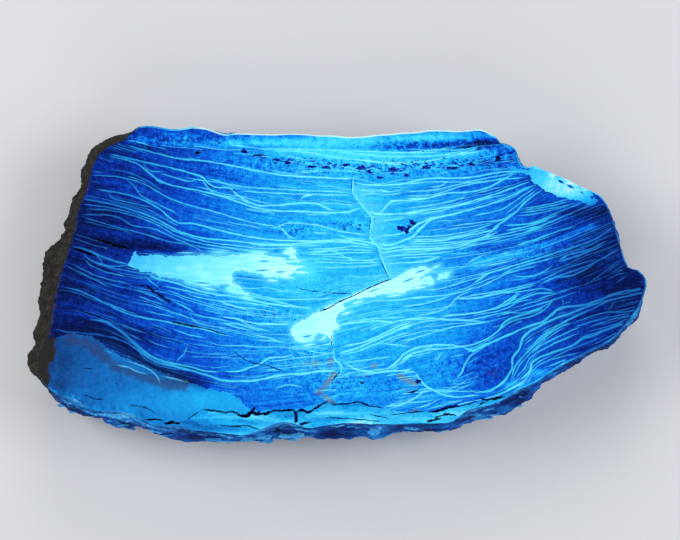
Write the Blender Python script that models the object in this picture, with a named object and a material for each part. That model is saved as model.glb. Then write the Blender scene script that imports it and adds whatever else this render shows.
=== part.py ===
# A slab of petrified wood, sawn and polished along the grain, lying on its flat sawn back.
# Metres, +Z up, origin on the surface it rests on, below the middle of the slab.
# +X runs along the grain and +Y towards the pale upper rim of the polished face.

import math

import bmesh
import bpy
from mathutils import Vector, noise

# Driving dimensions
SLAB_LENGTH = 0.185
SLAB_THICKNESS = 0.026
MM = SLAB_LENGTH / 185.0  # the outlines below are drawn in millimetres for a slab 185 mm long
DRAWN_MIDDLE = (-0.3, 0.9)

# Mesh density
RIM_COLUMNS = 256
RIM_SMOOTHING_ROUNDS = 14
PIT_DETAIL = 1
SHARP_ANGLE = math.radians(25)

# The arris of the polished face, anticlockwise from the upper left corner.
# Each point is x, y and how far the rough side below it swells out past the arris.
LEFT_END = [
    (-65.0, 44.7, 2.0), (-67.8, 43.4, 3.0), (-70.8, 42.0, 4.0), (-73.4, 39.6, 4.5),
    (-75.2, 35.6, 5.0), (-76.2, 31.0, 5.5), (-77.0, 27.4, 5.5), (-78.4, 24.4, 5.0),
    (-79.6, 20.4, 5.0), (-80.2, 16.0, 5.2), (-81.0, 12.2, 5.6), (-82.0, 8.8, 6.0),
    (-83.4, 4.6, 6.0), (-84.6, 0.0, 6.2), (-85.6, -5.0, 6.2), (-86.2, -10.0, 6.2),
    (-86.8, -15.0, 6.0), (-88.2, -19.0, 4.6), (-89.6, -23.0, 3.2), (-89.4, -27.2, 2.4),
    (-87.8, -30.4, 2.2),
]
LOWER_EDGE = [
    (-86.0, -32.4, 2.2), (-83.2, -34.2, 2.4), (-80.0, -35.2, 2.6), (-77.0, -35.8, 2.4),
    (-75.2, -37.8, 1.8), (-72.0, -39.2, 1.6), (-68.0, -39.0, 2.2), (-64.6, -39.2, 2.6),
    (-61.8, -39.8, 2.4), (-59.2, -41.2, 1.8), (-57.0, -42.2, 1.4), (-54.4, -43.4, 1.2),
    (-51.0, -43.6, 1.4), (-47.0, -43.4, 1.8), (-43.6, -44.6, 1.0), (-40.0, -45.0, 0.8),
    (-35.4, -45.4, 0.6), (-31.6, -45.7, 0.6), (-28.6, -46.1, 0.5), (-26.4, -45.8, 0.6),
    (-24.2, -44.8, 1.2), (-21.6, -43.5, 2.4), (-19.2, -42.6, 2.6), (-17.2, -42.0, 2.8),
    (-14.6, -42.1, 2.6), (-12.9, -42.7, 2.0), (-10.8, -43.8, 0.8), (-8.0, -44.0, 0.4),
    (-5.2, -43.5, 0.4), (-2.8, -43.0, 0.6), (0.6, -42.6, 0.8), (4.0, -42.5, 0.8),
    (7.6, -42.6, 1.2), (10.2, -42.8, 1.8), (13.2, -42.8, 1.2), (17.2, -42.9, 0.6),
    (21.0, -42.6, 0.5), (25.0, -42.6, 0.5), (29.0, -42.7, 0.4), (32.4, -42.4, 0.4),
    (34.8, -41.4, 0.5), (36.4, -39.9, 0.8), (38.6, -38.4, 1.0), (41.6, -37.8, 0.6),
    (44.6, -37.2, 0.4), (47.6, -36.2, 0.4), (50.2, -34.6, 0.5), (53.4, -32.7, 0.4),
    (57.0, -31.3, 0.3), (60.2, -29.4, 0.3), (62.4, -27.7, 0.6), (65.2, -26.0, 0.8),
    (68.6, -24.2, 0.6), (72.4, -22.3, 0.4), (76.2, -20.4, 0.3), (79.4, -18.9, 0.4),
    (82.2, -17.0, 0.6),
]
RIGHT_END = [
    (84.8, -14.2, 0.6), (87.0, -11.6, 0.4), (89.4, -8.6, 0.4), (91.0, -5.2, 0.4),
    (92.2, -1.8, 0.3), (92.1, 0.8, 0.4), (90.9, 2.8, 0.8), (89.2, 4.2, 1.2),
    (87.3, 3.9, 1.8), (86.2, 5.8, 1.2), (85.3, 8.6, 1.0), (84.6, 11.4, 0.8),
    (84.1, 14.2, 0.6), (83.3, 16.6, 0.6), (82.8, 19.2, 0.4), (81.6, 22.4, 0.3),
    (80.3, 25.0, 0.3), (78.6, 27.1, 0.2),
]
UPPER_EDGE = [
    (76.4, 28.2, 0.0), (74.4, 28.8, 0.0), (71.6, 30.4, -0.3), (68.8, 31.9, -0.4),
    (65.8, 33.0, -0.4), (64.4, 34.0, -0.5), (62.0, 34.6, -0.5), (60.4, 35.7, -0.6),
    (58.8, 35.9, -0.5), (56.8, 35.3, 0.4), (55.0, 36.2, 0.8), (54.2, 38.6, 0.4),
    (53.8, 41.2, 0.2), (52.2, 42.4, 0.2), (50.0, 42.7, 0.6), (48.7, 43.6, 0.6),
    (47.4, 45.4, 0.0), (45.2, 46.7, -0.4), (42.6, 47.6, -0.6), (39.6, 47.2, -0.6),
    (35.6, 46.9, -0.8), (31.6, 47.2, -0.8), (27.6, 47.2, -0.8), (24.0, 46.6, -0.8),
    (19.6, 46.4, -0.8), (15.6, 46.0, -0.8), (11.6, 45.7, -0.8), (7.4, 45.2, -0.8),
    (2.8, 45.0, -0.8), (-1.6, 45.5, -0.8), (-6.0, 45.6, -0.8), (-10.0, 46.0, -0.8),
    (-14.6, 46.2, -0.8), (-19.4, 45.9, -0.8), (-24.2, 46.0, -0.8), (-29.0, 46.2, -0.8),
    (-32.6, 46.1, -0.7), (-34.6, 45.6, -0.5), (-37.2, 46.6, -0.5), (-40.4, 47.8, -0.6),
    (-44.6, 48.2, -0.6), (-48.2, 47.4, -0.5), (-51.4, 47.4, -0.5), (-54.6, 48.1, -0.6),
    (-58.4, 48.6, -0.5), (-61.2, 48.2, -0.2), (-63.2, 46.6, 0.8),
]
RIM = LEFT_END + LOWER_EDGE + RIGHT_END + UPPER_EDGE

# The flaking strip between the polish and the arris. It is a hair wide round most of the rim,
# and widens along the lower edge out to this line: x, y, depth of the fissure there, drop of the arris.
EDGE_WEAR = 0.5
EDGE_DROP = 0.22
FLAKING_LINE = [
    (-48.0, -42.9, 0.2, 0.3), (-44.4, -41.4, 0.3, 0.5), (-41.0, -39.4, 0.8, 0.8), (-36.5, -39.6, 1.6, 1.0),
    (-33.2, -39.0, 1.5, 1.1), (-30.0, -39.9, 2.2, 1.3), (-27.8, -40.7, 2.8, 1.5), (-26.2, -40.2, 2.8, 1.6),
    (-25.0, -38.6, 3.2, 1.7), (-23.8, -39.9, 3.0, 1.8), (-20.6, -39.7, 2.8, 1.9), (-17.4, -39.1, 2.4, 1.9),
    (-14.4, -39.1, 2.4, 1.8), (-12.8, -39.8, 3.2, 1.7), (-11.2, -39.2, 3.0, 1.6), (-9.6, -39.6, 3.0, 1.5),
    (-7.4, -38.7, 2.8, 1.5), (-5.2, -37.3, 2.4, 1.4), (-3.8, -36.7, 1.6, 1.3), (-1.6, -36.9, 1.0, 1.2),
    (2.4, -36.8, 0.9, 1.2), (6.2, -36.6, 1.2, 1.2), (9.0, -37.6, 1.6, 1.2), (13.0, -38.4, 1.4, 1.2),
    (17.0, -39.1, 0.8, 1.1), (21.0, -39.5, 0.8, 1.0), (26.0, -39.2, 1.0, 1.1), (31.0, -38.6, 1.2, 1.2),
    (35.0, -38.0, 1.4, 1.3), (38.6, -36.9, 1.2, 1.2), (42.4, -36.2, 1.0, 0.9), (46.6, -35.2, 0.8, 0.7),
    (50.6, -33.6, 0.5, 0.5), (54.0, -31.8, 0.2, 0.3),
]
# Across the strip, from the polish outwards: share of its width, share of the fissure and of the drop
STRIP_PROFILE = [(0.0, 0.0, 0.0), (0.20, 1.0, 0.3), (0.42, 0.12, 0.5)]

# The rough side from arris to base: share of the thickness, and share of the swell reached there
SIDE_PROFILE = [
    (0.00, 0.00), (0.04, 0.24), (0.09, 0.50), (0.16, 0.74), (0.24, 0.90), (0.33, 0.98),
    (0.44, 1.00), (0.56, 0.92), (0.69, 0.74), (0.82, 0.42), (0.94, -0.06), (1.00, -0.36),
]
BASE_TUCK = 1.6  # mm that the side draws in towards the base, whatever its swell
CORNER_EASING = 0.85  # how much of the rim's small notches is smoothed away at the base

# Broken wood layers on the side: long with the grain, thin across it
LAYER_LENGTH = 24.0
LAYER_THICKNESS = 6.5
LAYER_DEPTH = 7.0
LAYER_RELIEF = 3.2
LAYER_STEPS = 3.0  # steps for each unit of the noise that shapes the layers
LAYER_SHARPNESS = 0.65  # 1 would make every tread flat and every step upright
LUMP_SIZE = 17.0
LUMP_RELIEF = 1.3
RELIEF_ONSET = 0.23  # share of the thickness over which the relief grows to its full depth below the arris

# Loose-edged flakes that stand out of the lower side.
# Each is x, how far out, top and bottom as shares of the thickness, and half the length along x.
FLAKES = [
    (-52.0, 1.5, 0.20, 0.55, 5.0), (-22.8, 1.5, 0.16, 0.46, 2.8), (-14.6, 1.9, 0.18, 0.48, 4.4),
    (10.2, 1.5, 0.14, 0.40, 2.0), (-66.0, 1.2, 0.35, 0.70, 6.0), (31.0, 1.2, 0.30, 0.62, 6.0),
    (-3.0, 1.1, 0.45, 0.80, 8.0), (55.0, 1.0, 0.35, 0.72, 7.0),
]
FLAKE_TAPER = 0.4  # how much less a flake stands out at its ends

# Open cracks in the polished face: points, widest gap and depth
CRACKS = {
    "patch_crack": (
        [(-5.0, -8.5), (0.4, -6.0), (4.4, -4.2), (9.8, -1.5), (12.8, -0.2), (15.4, 0.9)], 0.6, 1.6),
    "left_crack_upper": (
        [(-60.0, -1.2), (-57.8, -1.3), (-55.4, -3.0), (-52.8, -4.6), (-50.2, -6.4)], 0.7, 1.8),
    "left_crack_lower": ([(-50.5, -12.0), (-46.8, -12.9), (-43.4, -13.6), (-41.0, -13.9)], 0.6, 1.5),
    "left_end_crack": ([(-79.8, 10.4), (-78.6, 9.8), (-75.6, 8.8), (-73.0, 7.8)], 0.7, 1.8),
    "dark_seam": ([(-73.0, 13.0), (-69.8, 12.1), (-66.4, 11.0), (-62.8, 10.2)], 0.8, 1.4),
    "streak_crack": ([(20.4, -33.6), (22.0, -33.3), (23.8, -32.4)], 0.6, 1.2),
}

# Small hollows in the polished face: x, y, half length, half width, depth
PITS = [
    (18.8, 16.4, 1.1, 0.9, 1.4), (20.4, 15.8, 0.9, 0.8, 1.3), (22.2, 18.2, 0.9, 0.8, 1.2),
    (23.5, -30.2, 0.7, 0.7, 1.0), (6.8, -30.6, 0.6, 0.4, 0.8),
    (-28.8, 40.4, 1.0, 0.6, 0.9), (-24.4, 39.2, 1.8, 0.4, 0.7), (-43.0, 40.0, 0.8, 0.5, 0.7),
    (-19.0, 37.8, 1.0, 0.5, 0.8), (-15.6, 36.9, 1.2, 0.5, 0.8), (-8.2, 35.6, 1.2, 0.5, 0.8),
    (-3.8, 35.4, 1.3, 0.5, 0.9), (2.0, 36.2, 0.9, 0.5, 0.8), (6.6, 35.3, 1.3, 0.6, 0.9),
    (9.0, 34.0, 0.8, 0.5, 0.8), (12.4, 32.2, 1.0, 0.4, 0.8), (16.4, 34.8, 1.4, 0.5, 0.9),
    (20.5, 32.9, 0.6, 0.6, 0.8), (26.4, 35.4, 1.4, 0.5, 0.8), (34.4, 35.2, 1.6, 0.5, 0.9),
    (40.2, 36.4, 0.8, 0.6, 0.7), (48.2, 38.2, 1.0, 0.7, 0.9),
]

CUTTER_RISE = 0.8  # mm that a cutter stands above the polished face


def clear_scene():
    for old in list(bpy.data.objects):
        bpy.data.objects.remove(old, do_unlink=True)


def stone_material():
    material = bpy.data.materials.new("petrified_wood")
    material.use_nodes = True
    shader = material.node_tree.nodes["Principled BSDF"]
    shader.inputs["Base Color"].default_value = (0.045, 0.27, 0.72, 1.0)
    shader.inputs["Roughness"].default_value = 0.32
    shader.inputs["Metallic"].default_value = 0.0
    return material


def resampled_rim():
    """The rim as evenly spaced (place, swell) pairs, in drawn millimetres."""
    corners = RIM + RIM[:1]
    reach = [0.0]
    for (ax, ay, _), (bx, by, _) in zip(corners, corners[1:]):
        reach.append(reach[-1] + math.hypot(bx - ax, by - ay))
    columns = []
    stretch = 0
    for index in range(RIM_COLUMNS):
        along = reach[-1] * index / RIM_COLUMNS
        while reach[stretch + 1] <= along:
            stretch += 1
        share = (along - reach[stretch]) / (reach[stretch + 1] - reach[stretch])
        (ax, ay, a_swell), (bx, by, b_swell) = corners[stretch], corners[stretch + 1]
        place = Vector((ax + (bx - ax) * share, ay + (by - ay) * share))
        columns.append((place - Vector(DRAWN_MIDDLE), a_swell + (b_swell - a_swell) * share))
    return columns


def smoothed(loop, rounds):
    """A closed loop with each point drawn towards its neighbours, over and over."""
    for _ in range(rounds):
        loop = [(loop[i - 1] + loop[i] * 2 + loop[(i + 1) % len(loop)]) / 4 for i in range(len(loop))]
    return loop


def outward_normals(loop):
    normals = []
    for index in range(len(loop)):
        along = loop[(index + 1) % len(loop)] - loop[index - 1]
        normals.append(Vector((along.y, -along.x)).normalized())
    return normals


def layered_relief(place):
    """How far the broken layers stand out at a place in drawn millimetres: flat treads with sharp steps."""
    layers = noise.noise(Vector((place.x / LAYER_LENGTH, place.y / LAYER_THICKNESS, place.z / LAYER_DEPTH)))
    lumps = noise.noise(place / LUMP_SIZE + Vector((7.3, 2.1, 5.9)))
    treads = math.floor(layers * LAYER_STEPS) / LAYER_STEPS
    stepped = treads * LAYER_SHARPNESS + layers * (1 - LAYER_SHARPNESS)
    return stepped * LAYER_RELIEF + lumps * LUMP_RELIEF


def flake_relief(place, share):
    """The flakes on the lower side: splinters along the grain, narrower and flatter towards their ends."""
    if place.y > 0:
        return 0.0
    for flake_x, out, top, bottom, half_width in FLAKES:
        reach = (place.x + DRAWN_MIDDLE[0] - flake_x) / half_width
        half_height = (bottom - top) / 2 * (1 - reach * reach)
        if abs(reach) < 1 and abs(share - (top + bottom) / 2) < half_height:
            return out * (1 - FLAKE_TAPER * abs(reach))
    return 0.0


def flaking_at(arris, outward):
    """Where the polish ends inside a point of the arris, and the fissure's depth and arris's drop there."""
    inner = arris - outward * EDGE_WEAR
    x = arris.x + DRAWN_MIDDLE[0]
    if arris.y > 0 or not FLAKING_LINE[0][0] < x < FLAKING_LINE[-1][0]:
        return inner, 0.0, EDGE_DROP
    for before, after in zip(FLAKING_LINE, FLAKING_LINE[1:]):
        if before[0] <= x <= after[0]:
            share = (x - before[0]) / (after[0] - before[0])
            _, y, fissure, drop = (a + (b - a) * share for a, b in zip(before, after))
            return Vector((arris.x, max(inner.y, y - DRAWN_MIDDLE[1]))), fissure, drop


def strip_rings(arris, outward):
    """The rings from the edge of the polish to just inside the arris, and the drop at each column."""
    strips = [flaking_at(place, way) for place, way in zip(arris, outward)]
    rings = []
    for share, fissure_share, drop_share in STRIP_PROFILE:
        ring = []
        for place, (inner, fissure, drop) in zip(arris, strips):
            flat = inner.lerp(place, share)
            depth = fissure * fissure_share + drop * drop_share
            ring.append(Vector((flat.x, flat.y, SLAB_THICKNESS / MM - depth)))
        rings.append(ring)
    return rings, [drop for _, _, drop in strips]


def side_rings():
    """One closed ring of places for each step from the edge of the polish to the base, in millimetres."""
    columns = resampled_rim()
    arris = [place for place, _ in columns]
    eased = smoothed(arris, RIM_SMOOTHING_ROUNDS)
    outward = outward_normals(eased)
    rings, drops = strip_rings(arris, outward)
    thickness = SLAB_THICKNESS / MM
    for share, swell_share in SIDE_PROFILE:
        roughness = math.sin(math.pi / 2 * min(share / RELIEF_ONSET, 1)) * (1 - share ** 6)
        ring = []
        for index, (place, swell) in enumerate(columns):
            height = (thickness - drops[index]) * (1 - share)
            flat = place.lerp(eased[index], CORNER_EASING * share ** 0.5)
            out = swell * swell_share - BASE_TUCK * share ** 3
            at = Vector((flat.x, flat.y, height))
            out += (layered_relief(at) + flake_relief(at, share)) * roughness
            flat = flat + outward[index] * out
            ring.append(Vector((flat.x, flat.y, height)))
        rings.append(ring)
    return rings


def slab_mesh():
    """The closed slab: bridged side rings, the flat polished face on top and the flat sawn back below."""
    rings = side_rings()
    shape = bmesh.new()
    loops = [[shape.verts.new(place * MM) for place in ring] for ring in rings]
    for upper, lower in zip(loops, loops[1:]):
        for index in range(RIM_COLUMNS):
            shape.faces.new((upper[index - 1], lower[index - 1], lower[index], upper[index]))
    caps = [shape.faces.new(loops[0]), shape.faces.new(reversed(loops[-1]))]
    bmesh.ops.triangulate(shape, faces=caps, quad_method="BEAUTY", ngon_method="BEAUTY")
    mesh = bpy.data.meshes.new("petrified_wood")
    shape.to_mesh(mesh)
    shape.free()
    return mesh


def face_place(x, y, above):
    """A point of the drawn face, above (or below) the polished plane, in metres."""
    return Vector((x - DRAWN_MIDDLE[0], y - DRAWN_MIDDLE[1], above)) * MM + Vector((0, 0, SLAB_THICKNESS))


def add_groove(shape, points, width, depth):
    """A closed V-shaped wedge along a crack, widest midway and pointed at both ends."""
    path = [Vector(point) for point in points]
    slope = (depth + CUTTER_RISE) / depth  # the walls go on as straight lines above the face
    last = len(path) - 1
    sections = []
    for index in range(1, last):
        along = (path[index + 1] - path[index - 1]).normalized()
        gape = width * (0.6 + 0.4 * math.sin(math.pi * index / last))
        across = Vector((-along.y, along.x)) * slope * gape / 2
        here = path[index]
        sections.append([
            shape.verts.new(face_place(here.x + across.x, here.y + across.y, CUTTER_RISE)),
            shape.verts.new(face_place(here.x, here.y, -depth)),
            shape.verts.new(face_place(here.x - across.x, here.y - across.y, CUTTER_RISE)),
        ])
    for tip, section in ((path[0], sections[0]), (path[last], sections[-1])):
        point = shape.verts.new(face_place(tip.x, tip.y, CUTTER_RISE))
        for side in range(3):
            shape.faces.new((point, section[side], section[(side + 1) % 3]))
    for front, behind in zip(sections, sections[1:]):
        for side in range(3):
            after = (side + 1) % 3
            shape.faces.new((front[side], behind[side], behind[after], front[after]))


def add_pit(shape, x, y, half_length, half_width, depth):
    ball = bmesh.ops.create_icosphere(shape, subdivisions=PIT_DETAIL, radius=1.0)["verts"]
    bmesh.ops.scale(shape, verts=ball, vec=Vector((half_length, half_width, depth)) * MM)
    bmesh.ops.translate(shape, verts=ball, vec=face_place(x, y, 0.1 * depth))


def cutter(name, fill):
    """A hidden wire object whose mesh is made by fill(bmesh), with every face pointing out."""
    shape = bmesh.new()
    fill(shape)
    bmesh.ops.recalc_face_normals(shape, faces=shape.faces)
    mesh = bpy.data.meshes.new(name)
    shape.to_mesh(mesh)
    shape.free()
    made = bpy.data.objects.new(name, mesh)
    made.hide_render = True
    made.display_type = "WIRE"
    bpy.context.collection.objects.link(made)
    return made


def cut_from(stone, tool):
    cut = stone.modifiers.new("cut_" + tool.name, "BOOLEAN")
    cut.operation = "DIFFERENCE"
    cut.solver = "EXACT"
    cut.object = tool


def add_cracks(shape):
    for points, width, depth in CRACKS.values():
        add_groove(shape, points, width, depth)


def add_pits(shape):
    for pit in PITS:
        add_pit(shape, *pit)


def main():
    clear_scene()
    stone = bpy.data.objects.new("petrified_wood", slab_mesh())
    stone.data.materials.append(stone_material())
    bpy.context.collection.objects.link(stone)
    cut_from(stone, cutter("cracks", add_cracks))
    cut_from(stone, cutter("pits", add_pits))
    stone.data.shade_smooth()
    stone.data.set_sharp_from_angle(angle=SHARP_ANGLE)


main()
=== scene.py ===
import math

import bmesh
import bpy
import numpy as np
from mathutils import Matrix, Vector, kdtree, noise
from mathutils.bvhtree import BVHTree
from mathutils.geometry import delaunay_2d_cdt


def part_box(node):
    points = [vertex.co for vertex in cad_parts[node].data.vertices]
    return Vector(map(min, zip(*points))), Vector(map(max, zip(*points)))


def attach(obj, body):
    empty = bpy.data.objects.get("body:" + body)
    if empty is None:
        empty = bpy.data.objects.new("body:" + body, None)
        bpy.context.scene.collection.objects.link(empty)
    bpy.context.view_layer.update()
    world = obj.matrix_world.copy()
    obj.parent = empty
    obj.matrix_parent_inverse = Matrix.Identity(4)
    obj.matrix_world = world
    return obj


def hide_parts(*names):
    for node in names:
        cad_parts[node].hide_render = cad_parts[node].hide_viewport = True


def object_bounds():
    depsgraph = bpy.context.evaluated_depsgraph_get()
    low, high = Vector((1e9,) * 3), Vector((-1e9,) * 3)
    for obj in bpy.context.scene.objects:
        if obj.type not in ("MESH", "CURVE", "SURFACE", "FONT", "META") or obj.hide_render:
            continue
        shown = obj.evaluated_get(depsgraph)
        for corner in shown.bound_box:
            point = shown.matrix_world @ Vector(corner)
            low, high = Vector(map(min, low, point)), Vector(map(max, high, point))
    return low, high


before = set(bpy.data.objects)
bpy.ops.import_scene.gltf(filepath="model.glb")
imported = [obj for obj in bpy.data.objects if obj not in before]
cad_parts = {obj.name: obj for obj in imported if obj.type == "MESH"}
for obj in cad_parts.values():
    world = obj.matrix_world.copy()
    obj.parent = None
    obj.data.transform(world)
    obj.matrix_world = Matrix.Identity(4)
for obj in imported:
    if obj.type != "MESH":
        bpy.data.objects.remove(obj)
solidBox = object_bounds()

# Everything on the face is drawn in millimetres, +X along the grain, and placed by these
drawing = {
    "mm": 0.001,
    "middle": (-0.3, 0.9),  # the drawn point that lies over the slab's origin
    "faceHeight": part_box("petrified_wood")[1].z,
    "same": 1e-6,  # metres apart at which two points are one
    "level": 1e-5,  # and at which they are at one height
}


def inMetres(drawn, heights):  # drawn places in mm and their heights above the face, as points of the slab
    shifted = (np.asarray(drawn) - drawing["middle"]) * drawing["mm"]
    return np.column_stack([shifted, np.asarray(heights) * drawing["mm"] + drawing["faceHeight"]])


def inDrawing(points):  # the other way round, heights left out
    return np.asarray(points)[:, :2] / drawing["mm"] + drawing["middle"]


def smoothPath(points, step):  # places about a step apart on a smooth curve through the points
    knots = np.array(points, float)
    spans = np.linalg.norm(np.diff(knots, axis=0), axis=1)[:, None]
    slopes = np.diff(knots, axis=0) / spans
    before = np.vstack([spans[:1], spans])
    after = np.vstack([spans, spans[-1:]])
    arriving = np.vstack([slopes[:1], slopes])
    leaving = np.vstack([slopes, slopes[-1:]])
    tangents = (arriving * after + leaving * before) / (before + after)
    stretches = []
    for index, span in enumerate(spans[:, 0]):
        count = max(1, round(span / step))
        t = np.arange(count)[:, None] / count
        fromStart = (2 * t**3 - 3 * t**2 + 1) * knots[index] + (t**3 - 2 * t**2 + t) * span * tangents[index]
        toEnd = (3 * t**2 - 2 * t**3) * knots[index + 1] + (t**3 - t**2) * span * tangents[index + 1]
        stretches.append(fromStart + toEnd)
    return np.vstack(stretches + [knots[-1:]])


def evenLoop(loop, step):  # places a step apart or less along a closed loop of straight stretches
    stretches = []
    for start, end in zip(loop, np.roll(loop, -1, axis=0)):
        count = max(1, math.ceil(np.linalg.norm(end - start) / step))
        stretches.append(start + (end - start) * (np.arange(count) / count)[:, None])
    return np.vstack(stretches)


def alongPath(path):  # distance along a path at each of its places
    return np.concatenate([[0.0], np.cumsum(np.linalg.norm(np.diff(path, axis=0), axis=1))])


def acrossPath(path):  # unit vector to the left of a path at each of its places
    along = np.gradient(path, axis=0)
    along /= np.maximum(np.linalg.norm(along, axis=1), 1e-9)[:, None]
    return np.column_stack([-along[:, 1], along[:, 0]])


def insideOutline(places, outline):
    inside = np.zeros(len(places), bool)
    x, y = places[:, 0], places[:, 1]
    for (ax, ay), (bx, by) in zip(outline, np.roll(outline, -1, axis=0)):
        if ay != by:
            inside ^= ((ay > y) != (by > y)) & (x < (bx - ax) * (y - ay) / (by - ay) + ax)
    return inside


def treeOf(places):
    tree = kdtree.KDTree(len(places))
    for index, (x, y) in enumerate(places):
        tree.insert((x, y, 0), index)
    tree.balance()
    return tree


def distanceTo(tree, places):
    return np.array([tree.find((x, y, 0))[2] for x, y in places])


# Lines of all kinds stray a little, as natural ones do
straying = {
    "waves": [(1.0, 1.0), (0.6, 2.3), (0.5, 0.43)],  # strength of each wave, and its turns in one wavelength
    "mean": 1.7,  # divides the sum of the waves
    "aside": (0.07, 5.0),  # how far in mm, and the wavelength in mm
    "width": (0.22, 7.0),  # share of the half width, and the wavelength
    "glow": (0.14, 9.0),  # share of the brightness, and the wavelength
    "flicker": (0.12, 3.4),
    "usualGlow": 0.84,
    "endWidth": 0.45,  # shares of the half width and brightness that are left at a line's ends
    "endGlow": 0.35,
    "edgeGap": 0.12,  # mm that a line keeps from the edge it is cut at
}


def ripple(distance, wave, dice):  # smooth values of about -1 to 1 that vary over about a wave's length
    turns = 2 * math.pi * distance / wave
    starts = dice.uniform(0, 2 * math.pi, len(straying["waves"]))
    total = np.zeros(len(distance))
    for (strength, rate), start in zip(straying["waves"], starts):
        total += strength * np.sin(turns * rate + start)
    return total / straying["mean"]


def lineOnPath(path, half, glow, dice, fade):  # a line's places, half widths and brightness
    distance = alongPath(path)
    aside, width, slow, quick = (
        share * ripple(distance, wave, dice)
        for share, wave in (straying[key] for key in ("aside", "width", "glow", "flicker")))
    ends = np.clip(np.minimum(distance, distance[-1] - distance) / fade, 0, 1)
    thinning = straying["endWidth"] + (1 - straying["endWidth"]) * ends
    dimming = straying["endGlow"] + (1 - straying["endGlow"]) * ends
    return {
        "path": path + acrossPath(path) * aside[:, None],
        "halves": half * (1 + width) * thinning,
        "glows": glow * (straying["usualGlow"] + slow + quick) * dimming,
    }


def insideParts(line, edge, edgeTree, allowed=True):  # a line cut where it is too near an edge or not allowed
    inside = insideOutline(line["path"], edge) & allowed
    inside &= distanceTo(edgeTree, line["path"]) > line["halves"] + straying["edgeGap"]
    parts = []
    start = None
    for index, keep in enumerate(list(inside) + [False]):
        if keep and start is None:
            start = index
        if not keep and start is not None:
            if index - start > 2:
                parts.append({key: values[start:index] for key, values in line.items()})
            start = None
    return parts


def lineGlow(places, lines):  # brightness of the brightest line at each place
    starts = np.vstack([line["path"][:-1] for line in lines])
    ends = np.vstack([line["path"][1:] for line in lines])
    halves, glows = (
        np.vstack([np.column_stack([line[key][:-1], line[key][1:]]) for line in lines])
        for key in ("halves", "glows"))
    tree = treeOf((starts + ends) / 2)
    reach = np.linalg.norm(ends - starts, axis=1).max() / 2 + halves.max()
    pairs = [(index, found[1]) for index, (x, y) in enumerate(places)
             for found in tree.find_range((x, y, 0), reach)]
    place, piece = np.array(pairs, int).reshape(-1, 2).T
    span = ends[piece] - starts[piece]
    share = ((places[place] - starts[piece]) * span).sum(axis=1) / np.maximum((span**2).sum(axis=1), 1e-12)
    share = np.clip(share, 0, 1)
    away = np.linalg.norm(places[place] - starts[piece] - span * share[:, None], axis=1)
    half = halves[piece, 0] * (1 - share) + halves[piece, 1] * share
    glow = glows[piece, 0] * (1 - share) + glows[piece, 1] * share
    brightest = np.zeros(len(places))
    np.maximum.at(brightest, place, glow * np.clip(1 - away / half, 0, 1))
    return brightest


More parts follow.
